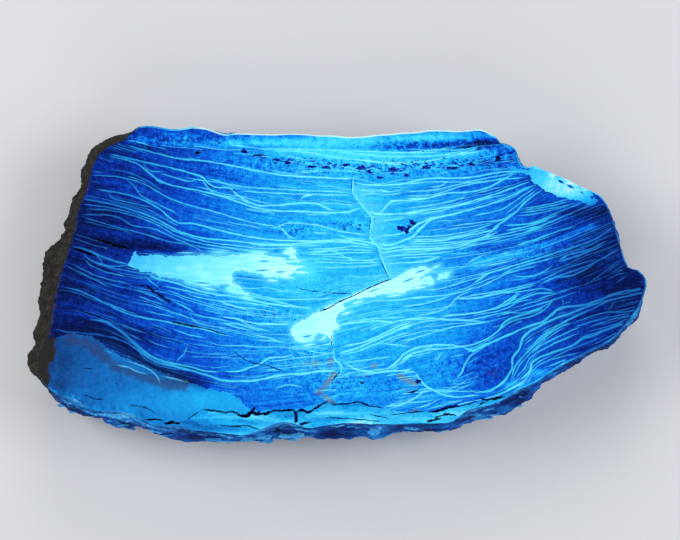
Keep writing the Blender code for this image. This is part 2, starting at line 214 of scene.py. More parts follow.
# Growth lines, traced one by one. Each set has its half width in mm and its brightness.
growthLines = {
    "thick": {"half": 0.5, "glow": 1.0, "paths": [
        [(-74.5, -11.5), (-69.8, -12.2), (-67.5, -13.5), (-63.3, -16.5), (-60, -19.8), (-55.9, -23.5), (-53.7, -24.6),
         (-50, -25.5), (-43.7, -27), (-38.1, -28.7), (-33.8, -30), (-30, -30.1), (-24.9, -29.9), (-20.1, -28.9),
         (-15.3, -28.1), (-10.1, -27.9), (-6.4, -27.2), (-0.8, -27.1)],
        [(36.5, -19.8), (38, -20.3), (40.2, -21.1), (41.7, -20.3), (46.1, -18.1), (51.7, -15.7), (56.1, -13.7),
         (61, -12), (63.7, -9.9), (65.6, -8.2), (67.8, -7.6), (72.2, -7.3), (77.8, -5.6), (81.9, -3.9), (92, -1.9)],
        [(40.6, -33.4), (43.2, -33.3), (47.3, -31.6), (49.9, -29), (51.3, -26.4), (51.7, -23.1), (53.9, -20.1),
         (54.7, -17.2), (55.8, -15.9), (60.2, -13.3), (65, -11), (70, -9.3), (73.6, -7.6)],
        [(53.6, -29.8), (55.4, -28.3), (56.9, -26.8), (57.3, -24.6), (59.1, -23.3), (64.7, -21.1), (69.9, -19.2),
         (72, -17.6), (76, -16.3), (80, -14.5), (87, -12.1)],
        [(65.6, 1.3), (70, 2), (72.2, 2.9), (76.7, 5.5)],
        [(-11.6, 25.2), (-11, 26.1), (-9.6, 26.7), (-7.3, 26.9)],
        [(-69, -21), (-68.3, -21.4), (-67.5, -21.8)],
    ]},
    "bright": {"half": 0.38, "glow": 0.95, "paths": [
        # upper left and middle
        [(-64.7, 42.4), (-55, 39.7), (-50, 38.4), (-40, 37.3), (-25, 34.4), (-17.3, 33), (-12.1, 32.6), (3.8, 31.8)],
        [(-70, 39.7), (-60, 37.3), (-50, 35), (-43.6, 33.2), (-41.3, 32.3), (-39.1, 30), (-37.6, 29.3), (-32.4, 28.6),
         (-31.4, 27.4), (-27.3, 24.7), (-25, 23.7), (-20, 23.5), (-10, 24.3), (-7, 24.1), (-2.9, 22.4), (-0.7, 21.7)],
        [(-70, 39.1), (-60, 35.8), (-57.3, 33.4), (-53.2, 30.7), (-50, 29.7), (-40, 27.6), (-30, 24.5), (-25, 22.8),
         (-10, 21.6), (0, 21.3), (3, 21.6), (6.7, 22.8)],
        [(-73.6, 28.7), (-60, 25.6), (-55, 23), (-47.6, 18), (-45, 18), (-36, 15.8), (-25, 13.5), (-10, 12.5),
         (0, 12.8), (7.7, 12.4), (11.4, 11.3)],
        [(-77.3, 25.6), (-70, 24.2), (-55, 19.3), (-47.4, 15.2), (-42.2, 13.7), (-30, 12.4), (-25, 11.7), (5, 11.9),
         (10, 11.1)],
        [(-18.5, 17), (-17.5, 16.4), (-15.1, 14.1), (-13.5, 13.2)],
        # right of the healed break
        [(8.4, 21.8), (12.1, 21.1), (14.4, 23.3), (15.8, 24.8), (17.6, 25), (22.2, 25.2), (26.8, 25.6)],
        [(10.3, 20.7), (14.9, 20.8), (20.4, 21.1), (24.5, 21.6)],
        [(11.2, 11.7), (15.3, 11.3), (19, 12.5), (22.2, 13.9), (25, 16.7), (27.3, 18.8), (30, 19.7)],
        [(10.7, 11), (14, 10.1), (17.6, 10.6), (20.4, 11)],
        [(12.1, 8.7), (17.6, 9.6), (22.2, 9.9), (29.1, 10.1), (36, 10.8), (40.6, 12.5), (47.9, 15.3)],
        # upper right
        [(4.3, 30.8), (6.7, 30.2), (10, 29.9), (20, 30.4), (25, 31.6), (40, 32.3), (50, 34), (57, 34)],
        [(20, 25.6), (27.4, 26), (32.6, 27.3), (40, 27.8), (43.7, 28.6), (48.9, 31.1), (53.3, 33.7)],
        [(20, 21.3), (32.6, 23), (45, 26.3), (57.8, 31)],
        [(20, 14.7), (23.7, 17.6), (26.7, 19.1), (32.6, 20.5), (40, 22.3), (50, 25.6), (58.5, 29.9)],
        [(45.9, 15), (46.7, 16.5), (49.6, 18.6), (53, 21.2), (56.7, 25), (61.5, 28.4)],
        [(50, 17.3), (57.8, 18), (66.3, 21.5), (73.3, 24.3)],
        [(50, 15.8), (55, 16.6), (64.4, 20), (66.7, 21)],
        [(55, 14.9), (65, 18.9), (75.6, 23.6)],
        [(53, 11.1), (57.3, 12.4), (65, 15.2), (69.5, 16.6), (71.3, 16.9)],
        # left middle
        [(-80.7, 10.8), (-77.8, 10.4), (-70, 7.3), (-63, 5.2)],
        [(-82.2, -1.7), (-79.3, -2.3), (-71.5, -5.7), (-64.1, -9.4), (-55, -11.6), (-50, -12.4), (-45.6, -13.6)],
        [(-57.4, 2.4), (-54.8, 1.1), (-50, -0.1), (-40, -3.3), (-31.2, -4.6), (-19, -7), (-7.9, -8.1)],
        [(-49.3, -6.3), (-45.9, -7.7), (-43.3, -9.4)],
        [(-84.3, -14.4), (-82.6, -15), (-77.4, -15.5), (-70, -16.5), (-66.3, -17.2), (-61.9, -19.4), (-57.8, -22.4),
         (-55.6, -24)],
        [(-68.7, -12.6), (-64.1, -15.7), (-60.4, -18.9), (-55.6, -22.7), (-50, -24.6), (-44.4, -25.8), (-38.9, -27.2),
         (-35.2, -27.3)],
        [(-63.5, -23.9), (-60.4, -24.9), (-57.6, -26), (-53.9, -28.8), (-53, -31.2)],
        [(-66.6, -25.2), (-63, -25.9), (-59.4, -27.4), (-57, -28)],
        [(-52.6, -28.6), (-49.4, -29.3), (-45.4, -30.4)],
        # centre
        [(-36, -10.5), (-31.6, -11.1), (-25, -12.7), (-13.8, -12.9)],
        [(-1.6, -14.2), (0, -13.5), (5, -12.4), (10, -12), (17.3, -12.4)],
        [(1, -19.6), (7.7, -18.3), (12.1, -16.4), (19.2, -13.1), (22, -12.4)],
        [(0.3, -21.6), (3.3, -20.9), (9.2, -18.5), (14.4, -16.1), (19.2, -13.9), (23.5, -12.6)],
        [(1.4, -24.9), (2.9, -25.3), (4.4, -26.3), (7, -27), (12, -27.5)],
        [(6.2, -27.9), (10.7, -27.7), (14.7, -27.1), (21.7, -27.1)],
        [(-34.1, -27.2), (-30.4, -27.2), (-26.4, -26), (-23.4, -24.9), (-21.2, -23.4), (-15.3, -22.6), (-13.8, -22)],
        # right middle
        [(20.8, 12.4), (30, 12.6), (37.6, 14), (42.4, 15), (47.3, 16.5), (49, 18)],
        [(41.7, 1.7), (52.4, 4.9), (67.6, 9.7), (77.8, 13.5), (83.3, 17.4)],
        [(40.2, -0.5), (44.7, 2.3)],
        [(65.4, 6.1), (68.4, 8), (75, 9.8), (80.7, 12.7)],
        [(65.8, 6), (75, 9.2), (80, 11.4)],
        [(60, -0.8), (65, 1.4), (75, 5.1), (84.8, 10.3)],
        [(35, -5.3), (40, -5), (50, -3.1), (59.1, -0.9)],
        [(46.9, -7.7), (50, -6.1), (53.9, -3.1)],
        [(46.1, -8.5), (50, -6.8), (54.5, -3.3)],
        [(30.2, -10.5), (42.4, -9.2), (51.3, -6.6), (60, -3.5), (65, -3.5)],
        # lower right
        [(18, -24.2), (20, -22.7), (25.4, -20.9), (34.3, -20), (41, -18.7), (46.9, -15.5), (50, -11.8), (55, -10),
         (61.3, -7.9)],
        [(14.7, -26.1), (16.6, -24.8), (20.3, -21.3), (23.5, -20), (29.1, -19.2), (36.5, -19.5)],
        [(70, -9.5), (75, -7.3), (85, -4.7), (92.2, -3)],
        [(57.4, -21.7), (60, -19.5), (65, -16.9), (72.2, -13.6)],
        [(22.4, -27.2), (23.4, -28.7), (25.8, -31.6), (27.6, -32.6), (32.8, -34.7), (41.7, -34.2)],
        [(40.2, -21.1), (38.4, -23.5), (37.1, -25.7), (36.9, -26.8), (34.7, -29.4)],
        [(51, -29.8), (52.4, -25.7), (55.4, -22), (61, -17.2), (65.8, -13.9), (69.9, -12.4)],
        [(13.3, -37.7), (18.4, -37.1), (22, -35.5), (25.8, -32.7)],
    ]},
    "plain": {"half": 0.32, "glow": 0.72, "paths": [
        # upper left and middle
        [(-65, 43.9), (-61.3, 43.4), (-56.5, 41.9)],
        [(-59.5, 36.9), (-58, 34.8), (-53, 34)],
        [(-54.5, 33.6), (-50, 32.3), (-45, 31.1), (-42.4, 31.7), (-38.4, 27.8), (-30, 25.4), (-25, 23.6)],
        [(-75, 33), (-65, 32.1), (-60, 30.6), (-50, 25.2), (-38, 21.7), (-25, 18), (-18.5, 17)],
        [(-64.5, 31.7), (-62.1, 29.7), (-59.9, 26.7), (-55, 24.1), (-48.7, 21)],
        [(-70, 27.8), (-68.7, 26.1), (-64, 24.6), (-56.5, 23)],
        [(-78, 23.9), (-70, 23), (-55, 18.4), (-50, 15.8), (-40, 12.4), (-31.2, 11.1), (-20, 10.1), (-12.7, 10.6)],
        [(-76.9, 22.4), (-72.1, 22.3), (-55, 17.6), (-48.9, 14.1), (-33.4, 10.4), (-20, 9.1)],
        [(-78, 20.8), (-65.8, 19.5), (-62.4, 17.4), (-56.7, 16.5), (-45, 11.5), (-32, 9.3)],
        [(-77.3, 19.9), (-67.3, 16.9), (-57.4, 14.3), (-52.2, 12.6), (-44.4, 11), (-40.7, 9.1)],
        [(-40, 32), (-30, 29.5), (-20, 28.7), (3.8, 27.6)],
        [(-29.9, 28), (-20, 27.4), (4, 26.7)],
        [(-7, 24.2), (0, 24.1), (5, 23.4)],
        [(-21, 16.5), (-18.5, 16.9), (-15, 18.2), (-12, 18), (-5, 17.1), (0, 15.6), (9, 14.3)],
        # upper right
        [(20, 29.9), (25, 30.7), (37.8, 30.9), (49.6, 33), (53.3, 33.7)],
        [(20, 27.8), (27.4, 28.2), (37.8, 30.4), (50, 32.1), (53.3, 33.4)],
        [(26.7, 29.1), (31.9, 30.2), (33.3, 31.5)],
        [(20, 26.5), (27.4, 26.7), (37.8, 29.7), (52.2, 31.9), (57, 32.3)],
        [(38.9, 27.6), (38.1, 26.5), (35, 25.2), (27.4, 23.6), (20, 22.6)],
        [(22.2, 14.1), (23.3, 15.4), (28.7, 19.7)],
        [(40, 20.2), (50, 22.8), (53.3, 25), (59.8, 29.5)],
        [(50, 20.8), (53.3, 23.2), (60, 28.7)],
        [(33, 17.1), (45, 18.6), (50, 19.5), (53, 21.7)],
        [(55, 22.4), (65, 24.3), (70, 25.8)],
        [(55, 21.9), (65, 23.6), (70, 24.9)],
        [(54.8, 21.3), (63, 22.4), (71.9, 24.3)],
        [(53.3, 20.2), (60, 21.1), (70, 23.6)],
        [(20, 40), (30, 40.8), (37.8, 41), (45, 42.6)],
        [(35, 39.1), (40, 40), (45.2, 41)],
        [(-20, 40.7), (-9.9, 40.2), (-1.7, 38.6), (8.4, 37.6), (17.6, 36.9), (26.8, 37.4), (36, 39.5), (43.8, 42.1)],
        [(-17.7, 41.1), (-5.3, 40.9), (8.4, 40.4), (22.2, 40), (31.4, 40.2)],
        [(-0.7, 40.2), (17.6, 38.8), (31.4, 39.3), (38.3, 40.7)],
        [(3.9, 37.9), (11.2, 37), (15.3, 36.5), (22.2, 36.7)],
        # left middle
        [(-76.1, 9.7), (-72.6, 8), (-70.7, 5.2)],
        [(-77, 9.3), (-75.9, 7.6), (-72.2, 5.8), (-69.3, 4.9), (-63.3, 4.9)],
        [(-75, 6.5), (-70, 4.7), (-64.4, 3.4)],
        [(-76.7, 7.3), (-75, 5.4), (-71.5, 3.6), (-63.3, 1.5)],
        [(-80, 5.4), (-73.3, 2.1), (-62.2, -0.9)],
        [(-82.6, 5.2), (-74.1, 1.1), (-68.1, -2)],
        [(-70, -6.1), (-65.6, -8.1), (-60, -10.1)],
        [(-61.1, -2.6), (-55, -4.6), (-51.1, -6.8)],
        [(-60.7, -4.2), (-52.2, -7.2)],
        [(-58.5, 2.1), (-56.7, 0.4), (-53.5, -2.2)],
        [(-52.6, -1.3), (-47.4, -2.4), (-38, -4.6)],
        [(-44.1, -10.1), (-43.9, -11.1), (-40, -13.5)],
        [(-66.1, -12.4), (-60.4, -14.8), (-57.5, -15.7)],
        [(-64.1, -15.1), (-60, -17.2), (-58.3, -17.9)],
        [(-50, -14.2), (-45.6, -15.9), (-39.3, -17.2)],
        [(-53.5, -12), (-50, -12.6), (-45.6, -13.6), (-40, -14.6), (-34.4, -16.1), (-31.6, -16.8)],
        [(-60.4, -20), (-58, -23), (-53, -25.6), (-47, -26.7)],
        # centre
        [(-36, 11), (-25, 9.3), (-20, 9.1)],
        [(-10, 10), (0, 10.4), (5, 11), (11.4, 10)],
        [(-10, 9.1), (2.5, 9.9), (10.7, 9.6)],
        [(-10, 8.4), (-2.7, 8.4), (2.5, 8.9), (11, 9.1)],
        [(-9, 8.6), (0.2, 8.7), (0.9, 8.1), (2.9, 7.1), (6.1, 6.6), (9.8, 6.7), (12.6, 7.2)],
        [(-0.7, 14.6), (2, 13.6), (5.7, 13.2), (8.9, 12.9)],
        # right of the healed break
        [(10.5, 18.6), (15.3, 19), (20.4, 19.6)],
        [(10.3, 13.6), (13.9, 14.2), (17.6, 14.6), (20.4, 15.3), (24, 18.1), (27.3, 19), (31.4, 20), (36, 20.9)],
        [(13, 7.5), (17.6, 8.1), (24.5, 8.5), (31.4, 8.9)],
        [(13.5, 5.4), (17.6, 5.8), (22.2, 6), (26.8, 6.8), (31.4, 8)],
        [(5.4, 28.2), (10, 28.4), (15.8, 27.9)],
        [(6, 26.9), (10, 27.2), (15.4, 26.9), (20, 27.6)],
        [(-7.9, 6.1), (5, 5.8), (12.9, 6)],
        [(-5.6, 4.3), (5, 4.6), (12.9, 5.3)],
        [(-36, -2.2), (-22.7, -5.1), (-12.3, -7.6)],
        [(-28.6, -2.9), (-20, -5.1), (-10, -5.4), (-0.8, -4.9)],
        [(-36, -5.7), (-25, -6.8), (-19, -7.9)],
        [(-30, -11.6), (-26.4, -13.5), (-20, -15.3)],
        [(-36, -12.4), (-25, -15.3)],
        [(-24.1, -12.6), (-19.7, -12.7), (-15.3, -13)],
        [(-36, -12.7), (-29, -13.1), (-24.9, -14.6), (-22.7, -15)],
        [(-26, -16.1), (-21.2, -17), (-17.5, -18.3)],
        [(-24.9, -17.6), (-15.3, -18.4)],
        [(0, -13.1), (5, -11.8), (10, -11.3), (20, -10.7)],
        [(15, -15.5), (20, -14), (22, -13.5)],
        [(-13, -21.4), (-8.6, -22.2)],
        [(-10.1, -20.7), (-4.9, -21.7), (-1.9, -22)],
        [(-0.4, -22), (2.5, -21.8), (9.9, -19.4), (17.3, -16.4), (22, -15.1)],
        [(12.5, -18.6), (16.6, -19.2), (22, -19.8)],
        [(1, -24.6), (8.4, -23.7), (15.9, -22.7)],
        [(8.4, -27), (13.6, -26.4), (19.6, -24), (22, -22.4)],
        [(0.1, -29), (3.3, -27.7), (6, -27.3)],
        [(-14.5, -28.5), (-12.9, -29)],
        [(-48.7, -24.8), (-47.8, -23.5), (-46.3, -22.2), (-45.7, -20.9), (-45, -19.4)],
        # right middle
        [(22, 13.6), (35, 14.7), (40, 15.8), (47, 18)],
        [(21.3, 13), (30, 13.2), (45, 16.3)],
        [(19.9, 11.7), (30, 11.9), (45, 14.7), (48.7, 17.8)],
        [(18, 11), (29.1, 11), (45, 13.7), (62.4, 17.6)],
        [(18, 10.4), (29.1, 10.4), (45, 13.2), (55, 14.9), (62.4, 17.3)],
        [(18, 8.9), (25, 9.3), (40, 11.5), (42.4, 12.1)],
        [(35, 9.7), (50, 13.6)],
        [(18, 8.2), (25, 8.4), (35, 9.5)],
        [(18, 7.3), (29.5, 7.8)],
        [(18, 5.8), (25, 6.1), (30.2, 7.3)],
        [(37.6, 4.9), (40, 6.5), (43.9, 8.2), (45.4, 8.1)],
        [(47.6, 1.3), (50, 2.8), (65, 7.6)],
        [(40, -2.4), (43.9, -0.7), (52.4, 3.2), (60, 5)],
        [(51.7, 2.1), (53.6, 1.7), (63.2, 4.3), (64.3, 5.4)],
        [(60, 0.2), (67.8, 3.9), (78.1, 7.2)],
        [(25, -2.7), (30, -2.2), (35, -0.7), (43.6, 1.7)],
        [(20, -5), (35, -3.5), (41.7, -1.4)],
        [(22.4, -10.5), (30, -8.9), (32.1, -7.9), (36.5, -4), (40, -2.6)],
        [(18, -7.6), (25, -6.8), (33.9, -4.2)],
        [(35, -5.3), (40, -4.2), (50, -2.4), (60, -0.1)],
        [(48, -3.7), (55, -2.9), (62.4, -2.3), (65, -3.3)],
        [(40, -10.3), (50, -8.1), (53.9, -6.1), (58, -5.3)],
        [(18, -11.6), (22.4, -11.1), (40, -11.4), (50, -9.4), (55, -9.4), (61.7, -7.2), (65, -5)],
        [(20, -13.5), (25, -12.2), (43.9, -12.1)],
        [(46.5, -15.7), (50, -12.9), (60, -9.4), (62.8, -7.2), (64.3, -5.7)],
        [(66.5, -5), (67.1, -6.1), (66.5, -7.6)],
        # right end
        [(75, -0.2), (81.5, 4.4), (84.4, 6.8)],
        [(80, 2.7), (85.2, 6.4)],
        [(80.7, 2), (86.1, 5.5)],
        [(81.9, 2.4), (86.3, 4.2)],
        [(80, 0.5), (84.1, 2.4), (86.7, 2.9)],
        [(82.6, -0.6), (86.7, 2.2)],
        [(65, -13.4), (75, -8.6), (81.9, -5.2)],
        [(80, -9.1), (82.2, -6.5), (82.6, -5.4)],
        [(60, -15.9), (70, -10.7), (75, -8.3)],
        [(70, -12.4), (80, -9.3), (87.4, -8.9), (90.4, -7.4)],
        [(70, -13.9), (77.8, -11.5), (87.4, -9.5)],
        [(75, -13.6), (80, -11.9), (88.5, -9.9)],
        [(71.9, -16.9), (72.4, -15.4)],
        [(55, -21.3), (60, -17.3), (65, -13.6)],
        [(58.9, -21.9), (63.3, -19.1), (70, -16)],
        [(61.5, -17.3), (64.1, -14.3), (68.5, -12.1)],
        # lower right
        [(18, -18.3), (23.6, -16.8), (30.2, -14.8), (33.6, -13.9), (45, -12.4)],
        [(18, -24.8), (20.2, -23.1), (25.4, -21.8), (28.7, -20.9)],
        [(32.8, -22.9), (35, -22.4), (38, -22)],
        [(28.7, -32.7), (31, -33.4), (35.8, -32.4), (39.9, -30.5)],
        [(32.1, -32.7), (36.5, -30.7), (38.7, -29.2)],
        [(38, -32.2), (39.5, -33.1), (41.7, -33.9)],
        [(51.5, -29.4), (53.2, -26.1), (57.3, -21.3), (64.3, -15.7), (67.3, -13.9)],
        [(52.4, -29.4), (54.7, -26.8), (57.3, -22.7), (61.7, -20), (68, -17.2), (72.1, -15.3)],
        [(55, -19.4), (58.4, -16.4)],
        [(57.5, -19), (61, -16.1), (66.1, -13.1)],
        [(61, -26.1), (66.1, -24.2), (76, -20.7)],
        [(62.1, -24), (67.6, -22.4), (72, -21.4)],
        [(31.3, -21), (30.2, -22), (29.9, -22.7), (29.2, -23.7), (28.6, -23.1), (29.3, -22.5), (29.9, -22.9)],
        [(22.1, -38.3), (27.3, -36.8), (29.9, -35.3)],
        [(25.4, -38.7), (31, -37.2), (36.5, -35.9)],
        [(-19.7, -32.3), (-18.2, -32), (-14.5, -31.2), (-10.6, -32.2)],
        [(-2.4, -30), (-2.7, -31.4), (-2.6, -33)],
    ]},
    "faint": {"half": 0.34, "glow": 0.42, "paths": [
        [(-70, 34.9), (-64.3, 33.9), (-60, 32.3), (-52.8, 27.6)],
        [(-45, 20), (-30, 16.9)],
        [(-14, 26.9), (-14.7, 26), (-15.9, 25.4), (-18, 25)],
        [(31.5, 20), (32.6, 18.9), (34.1, 18.2)],
        [(-76.3, -0.3), (-71.5, -2.7)],
        [(-45, -18.7), (-35.6, -20)],
        [(-47.4, -20.7), (-41.9, -21.7), (-32.2, -22)],
        [(-45, -22.7), (-32, -23.1), (-24, -23.6)],
        [(-56.7, -12.7), (-53, -13.9), (-49, -16)],
        [(-41.9, -12.7), (-38.1, -13.5), (-32, -14.2)],
        [(14.4, -34.6), (17.3, -33.1), (22.5, -32)],
        [(60, 10), (70, 13.9), (80, 18)],
        [(64.8, -3.2), (72.2, -1.3), (81.9, 2.4)],
        [(75, -21.3), (83.3, -16.1)],
        [(34, 3.5), (46, 7), (60, 10)],
        [(-33.8, -28.3), (-29.3, -28.7), (-24, -28.3)],
        [(-10, -19.6), (-1.9, -20.7)],
        [(21, -14.8), (27.3, -13.1), (30.2, -12.4)],
    ]},
}

# The healed break across the grain, in an upper and a lower part, with the stone pale on its right
healedBreak = {
    "paths": [
        [(4.2, 31.8), (4.2, 29.5), (4.2, 27.4), (4.6, 26.8), (9.2, 20.8), (9.8, 20.2), (9.9, 19.5), (9.4, 13.6),
         (9.7, 12.9), (11.4, 11.2), (12.8, 7.3), (13.2, 6.2), (15.2, 1.3)],
        [(-1.8, -15), (-2.5, -18), (-1.6, -21), (-1, -24), (0.6, -25.2), (0.5, -27.5), (-1, -28.5)],
    ],
    "half": 0.36,
    "glow": 0.8,
    "paleReach": 4.2,  # mm to the right of it over which the stone stays pale
    "paleTop": 2.0,  # mm from its upper end down to where the pale stone starts
    "paleGlow": 0.42,
}

# How both are drawn, in mm: the distance between a line's places, and how far it fades at its ends
lineSteps = {"seed": 3, "growthStep": 0.9, "growthFade": 2.0, "breakStep": 0.8, "breakFade": 1.0}


def tracedLines():
    dice = np.random.default_rng(lineSteps["seed"])
    lines = []
    for kind in growthLines.values():
        for points in kind["paths"]:
            path = smoothPath(points, lineSteps["growthStep"])
            lines.append(lineOnPath(path, kind["half"], kind["glow"], dice, lineSteps["growthFade"]))
    for points in healedBreak["paths"]:
        path = smoothPath(points, lineSteps["breakStep"])
        lines.append(lineOnPath(path, healedBreak["half"], healedBreak["glow"], dice, lineSteps["breakFade"]))
    return lines


def paleBesideBreak(places):  # how pale the stone is to the right of the healed break's upper part
    curve = smoothPath(healedBreak["paths"][0], lineSteps["breakStep"])
    order = np.argsort(curve[:, 1])
    beyond = places[:, 0] - np.interp(places[:, 1], curve[order, 1], curve[order, 0])
    low, high = curve[:, 1].min(), curve[:, 1].max() - healedBreak["paleTop"]
    within = (places[:, 1] > low) & (places[:, 1] < high) & (beyond > 0)
    return np.where(within, healedBreak["paleGlow"] * np.exp(-(beyond / healedBreak["paleReach"]) ** 2), 0)


# Fine growth lines between the traced ones follow the guides below and are set out by a rule
fineLines = {
    "seed": 41,
    "tries": 2200,
    "step": 0.9,  # mm between the places of a line
    "fewestPlaces": 6,
    "starts": (-86, 86),  # x of a line's left end
    "end": 92,  # and the furthest x of its right end
    "lengths": (8.0, 44.0),
    "half": (0.16, 0.32),
    "glow": (0.26, 0.8),
    "fade": 4.0,
    "shares": (0.04, 0.96),  # where a line lies between two guides, and by what share of that space it drifts
    "drift": 0.05,
    "driftWave": 26.0,
    "clearance": 0.42,  # mm kept from the lines that are already there
    "sharePassed": 0.8,  # a line is kept if this share of it is clear
    "batch": 12,  # lines made before they count as being there
    # dark lines, which may touch others and reach past a guide
    "shadeCount": 230,
    "shadeStarts": (-86, 80),
    "shadeLengths": (4, 22),
    "shadeHalf": (0.26, 0.6),
    "shadeDepth": (0.25, 0.9),
    "shadeOverlap": 0.1,
    # plain stone between the traced lines, where none are added
    "leftOut": [
        # upper left
        [(-65, 47.5), (-40, 48), (-30, 45.6), (-12, 45.8), (20, 46), (46, 48), (46, 43), (20, 41.6), (-12, 42),
         (-33, 42.4), (-47, 42), (-63, 43)],
        [(-58.4, 41.4), (-47, 40.9), (-37.8, 40.5), (-28.6, 39.1), (-12.1, 36.2), (-12.1, 33.9), (-19.4, 34.6),
         (-28.6, 36.2), (-37.8, 37.4), (-47, 38.6), (-53.9, 40.2)],
        [(-65.3, 40.5), (-59.8, 40), (-51.6, 37.6), (-42.4, 36.5), (-33.2, 34.6), (-24, 32.5), (-12.1, 31.1),
         (-12.1, 29.9), (-28.6, 29.7), (-35.9, 31.5), (-39.6, 32.5), (-42.4, 33.3), (-48.8, 34.8), (-56.1, 36.9)],
        [(-54.3, 30.6), (-50.6, 29), (-42.4, 26.8), (-33.2, 24.5), (-28.6, 22.6), (-19.4, 20.7), (-12.1, 20.3),
         (-12.1, 18.6), (-19.4, 17.9), (-28.6, 18.4), (-33.2, 20.3), (-42.4, 22.6), (-47, 24.5), (-51.6, 27.1)],
        [(-70.4, 37.4), (-65.3, 36.5), (-59.8, 35.1), (-56.1, 32), (-52.5, 29), (-48.8, 25.9), (-52, 26.8),
         (-58, 30.6), (-63.5, 32.7), (-72.2, 33.2)],
        [(-72.7, 32), (-64.4, 31.3), (-62.1, 29.2), (-59.8, 26.4), (-65.3, 27.6), (-72.7, 28.5)],
        [(-60.5, 29.7), (-56.1, 28.3), (-51.6, 25), (-47, 22.6), (-42.4, 20.5), (-37.8, 18.2), (-42.4, 18.4),
         (-47, 18.8), (-49.7, 22.2), (-54.3, 24.5), (-58.4, 26.4)],
        [(-77.7, 18.9), (-70.8, 17), (-65.3, 15.3), (-58, 13.7), (-47, 10.4), (-41, 8.5), (-51.6, 8.1),
         (-60.7, 10.2), (-65.3, 10.9), (-72.7, 12.8), (-78.6, 15.1)],
        [(-73.1, 10.2), (-63.5, 10.2), (-61.4, 9), (-63.5, 5.7), (-72.2, 8.5)],
        [(-48.8, 17.7), (-42.4, 16.8), (-33.2, 14.2), (-26.3, 12.8), (-33.2, 13.2), (-42.4, 14.4), (-47, 15.8)],
        [(-31.4, 17), (-19.4, 16), (-18, 16.3), (-14.8, 13.7), (-24, 13.7), (-30.9, 15.3)],
        # middle
        [(-17.5, 17), (-13.1, 17.7), (-7.6, 17.2), (-7.2, 13.7), (-12.2, 13.2), (-15.4, 14.6)],
        [(10.3, 19.6), (20.4, 19.6), (26.1, 19.1), (21.8, 15.3), (17.6, 14.6), (10.7, 14.4)],
        [(-23.7, 21.2), (-14.5, 20.7), (-0.7, 20.4), (8.4, 20.5), (8.7, 17), (-0.7, 16.7), (-7.6, 18.1),
         (-16.8, 18.4), (-23.7, 17.7)],
        [(-1.5, -15.7), (11.6, -14.3), (16.2, -13.8), (10.7, -16.6), (5.2, -19.7), (-1, -21.6)],
        [(3.4, -24.1), (10.7, -19.9), (13.9, -19.4), (21.7, -20.9), (19, -23), (14.4, -24.9), (5.2, -25.3)],
        # lower edge
        [(-29.7, -31.2), (-22.4, -30), (-11.3, -28.8), (-4, -28.1), (-6.7, -33.8), (-4, -36.1), (-10, -39.9),
         (-25.1, -38.9), (-29.7, -35.6)],
        [(-0.3, -29.5), (3.8, -28.6), (17.1, -28.6), (21.3, -31.9), (17, -35), (13.5, -38), (6.6, -36.6),
         (-1.2, -36.6)],
        [(21.7, -22.7), (29.5, -21.1), (36.4, -20.4), (38.7, -21.8), (37.3, -26.7), (31.4, -31.9), (26.8, -32.6),
         (24, -29.5), (22.6, -26.7), (16.2, -25.8)],
        # right
        [(41.1, -23.1), (42, -20.8), (48.9, -17), (54.9, -15.9), (54.4, -19.8), (52.1, -23.1), (51.2, -27.8),
         (48.9, -31.1), (44.7, -32.8), (40.6, -31.1)],
        [(42.5, -19.6), (47, -16.6), (53, -12.8), (61.3, -9.1), (65.4, -5.8), (66.3, -7.2), (64, -10), (54.9, -14.9),
         (47.5, -18.2)],
        [(32.4, -9.1), (36.5, -5.8), (42.5, -5.1), (49.3, -5.5), (47, -8.6), (41.1, -10), (34.2, -10)],
        [(23.1, -15.7), (30, -14.5), (45.7, -12.8), (47, -15.2), (40.2, -18), (30, -19.2), (23.1, -20.2)],
        [(67.7, -5.3), (73.2, -2.5), (81.5, -0.1), (87, 2.5), (90, 3.2), (92.5, -1.1), (85.2, -2.9), (77.8, -4.4),
         (71.4, -6.5)],
        [(62.2, -20.8), (64, -18.2), (68.6, -16.6), (72.3, -16.1), (70.5, -18.9), (66.8, -20.8)],
    ],
}

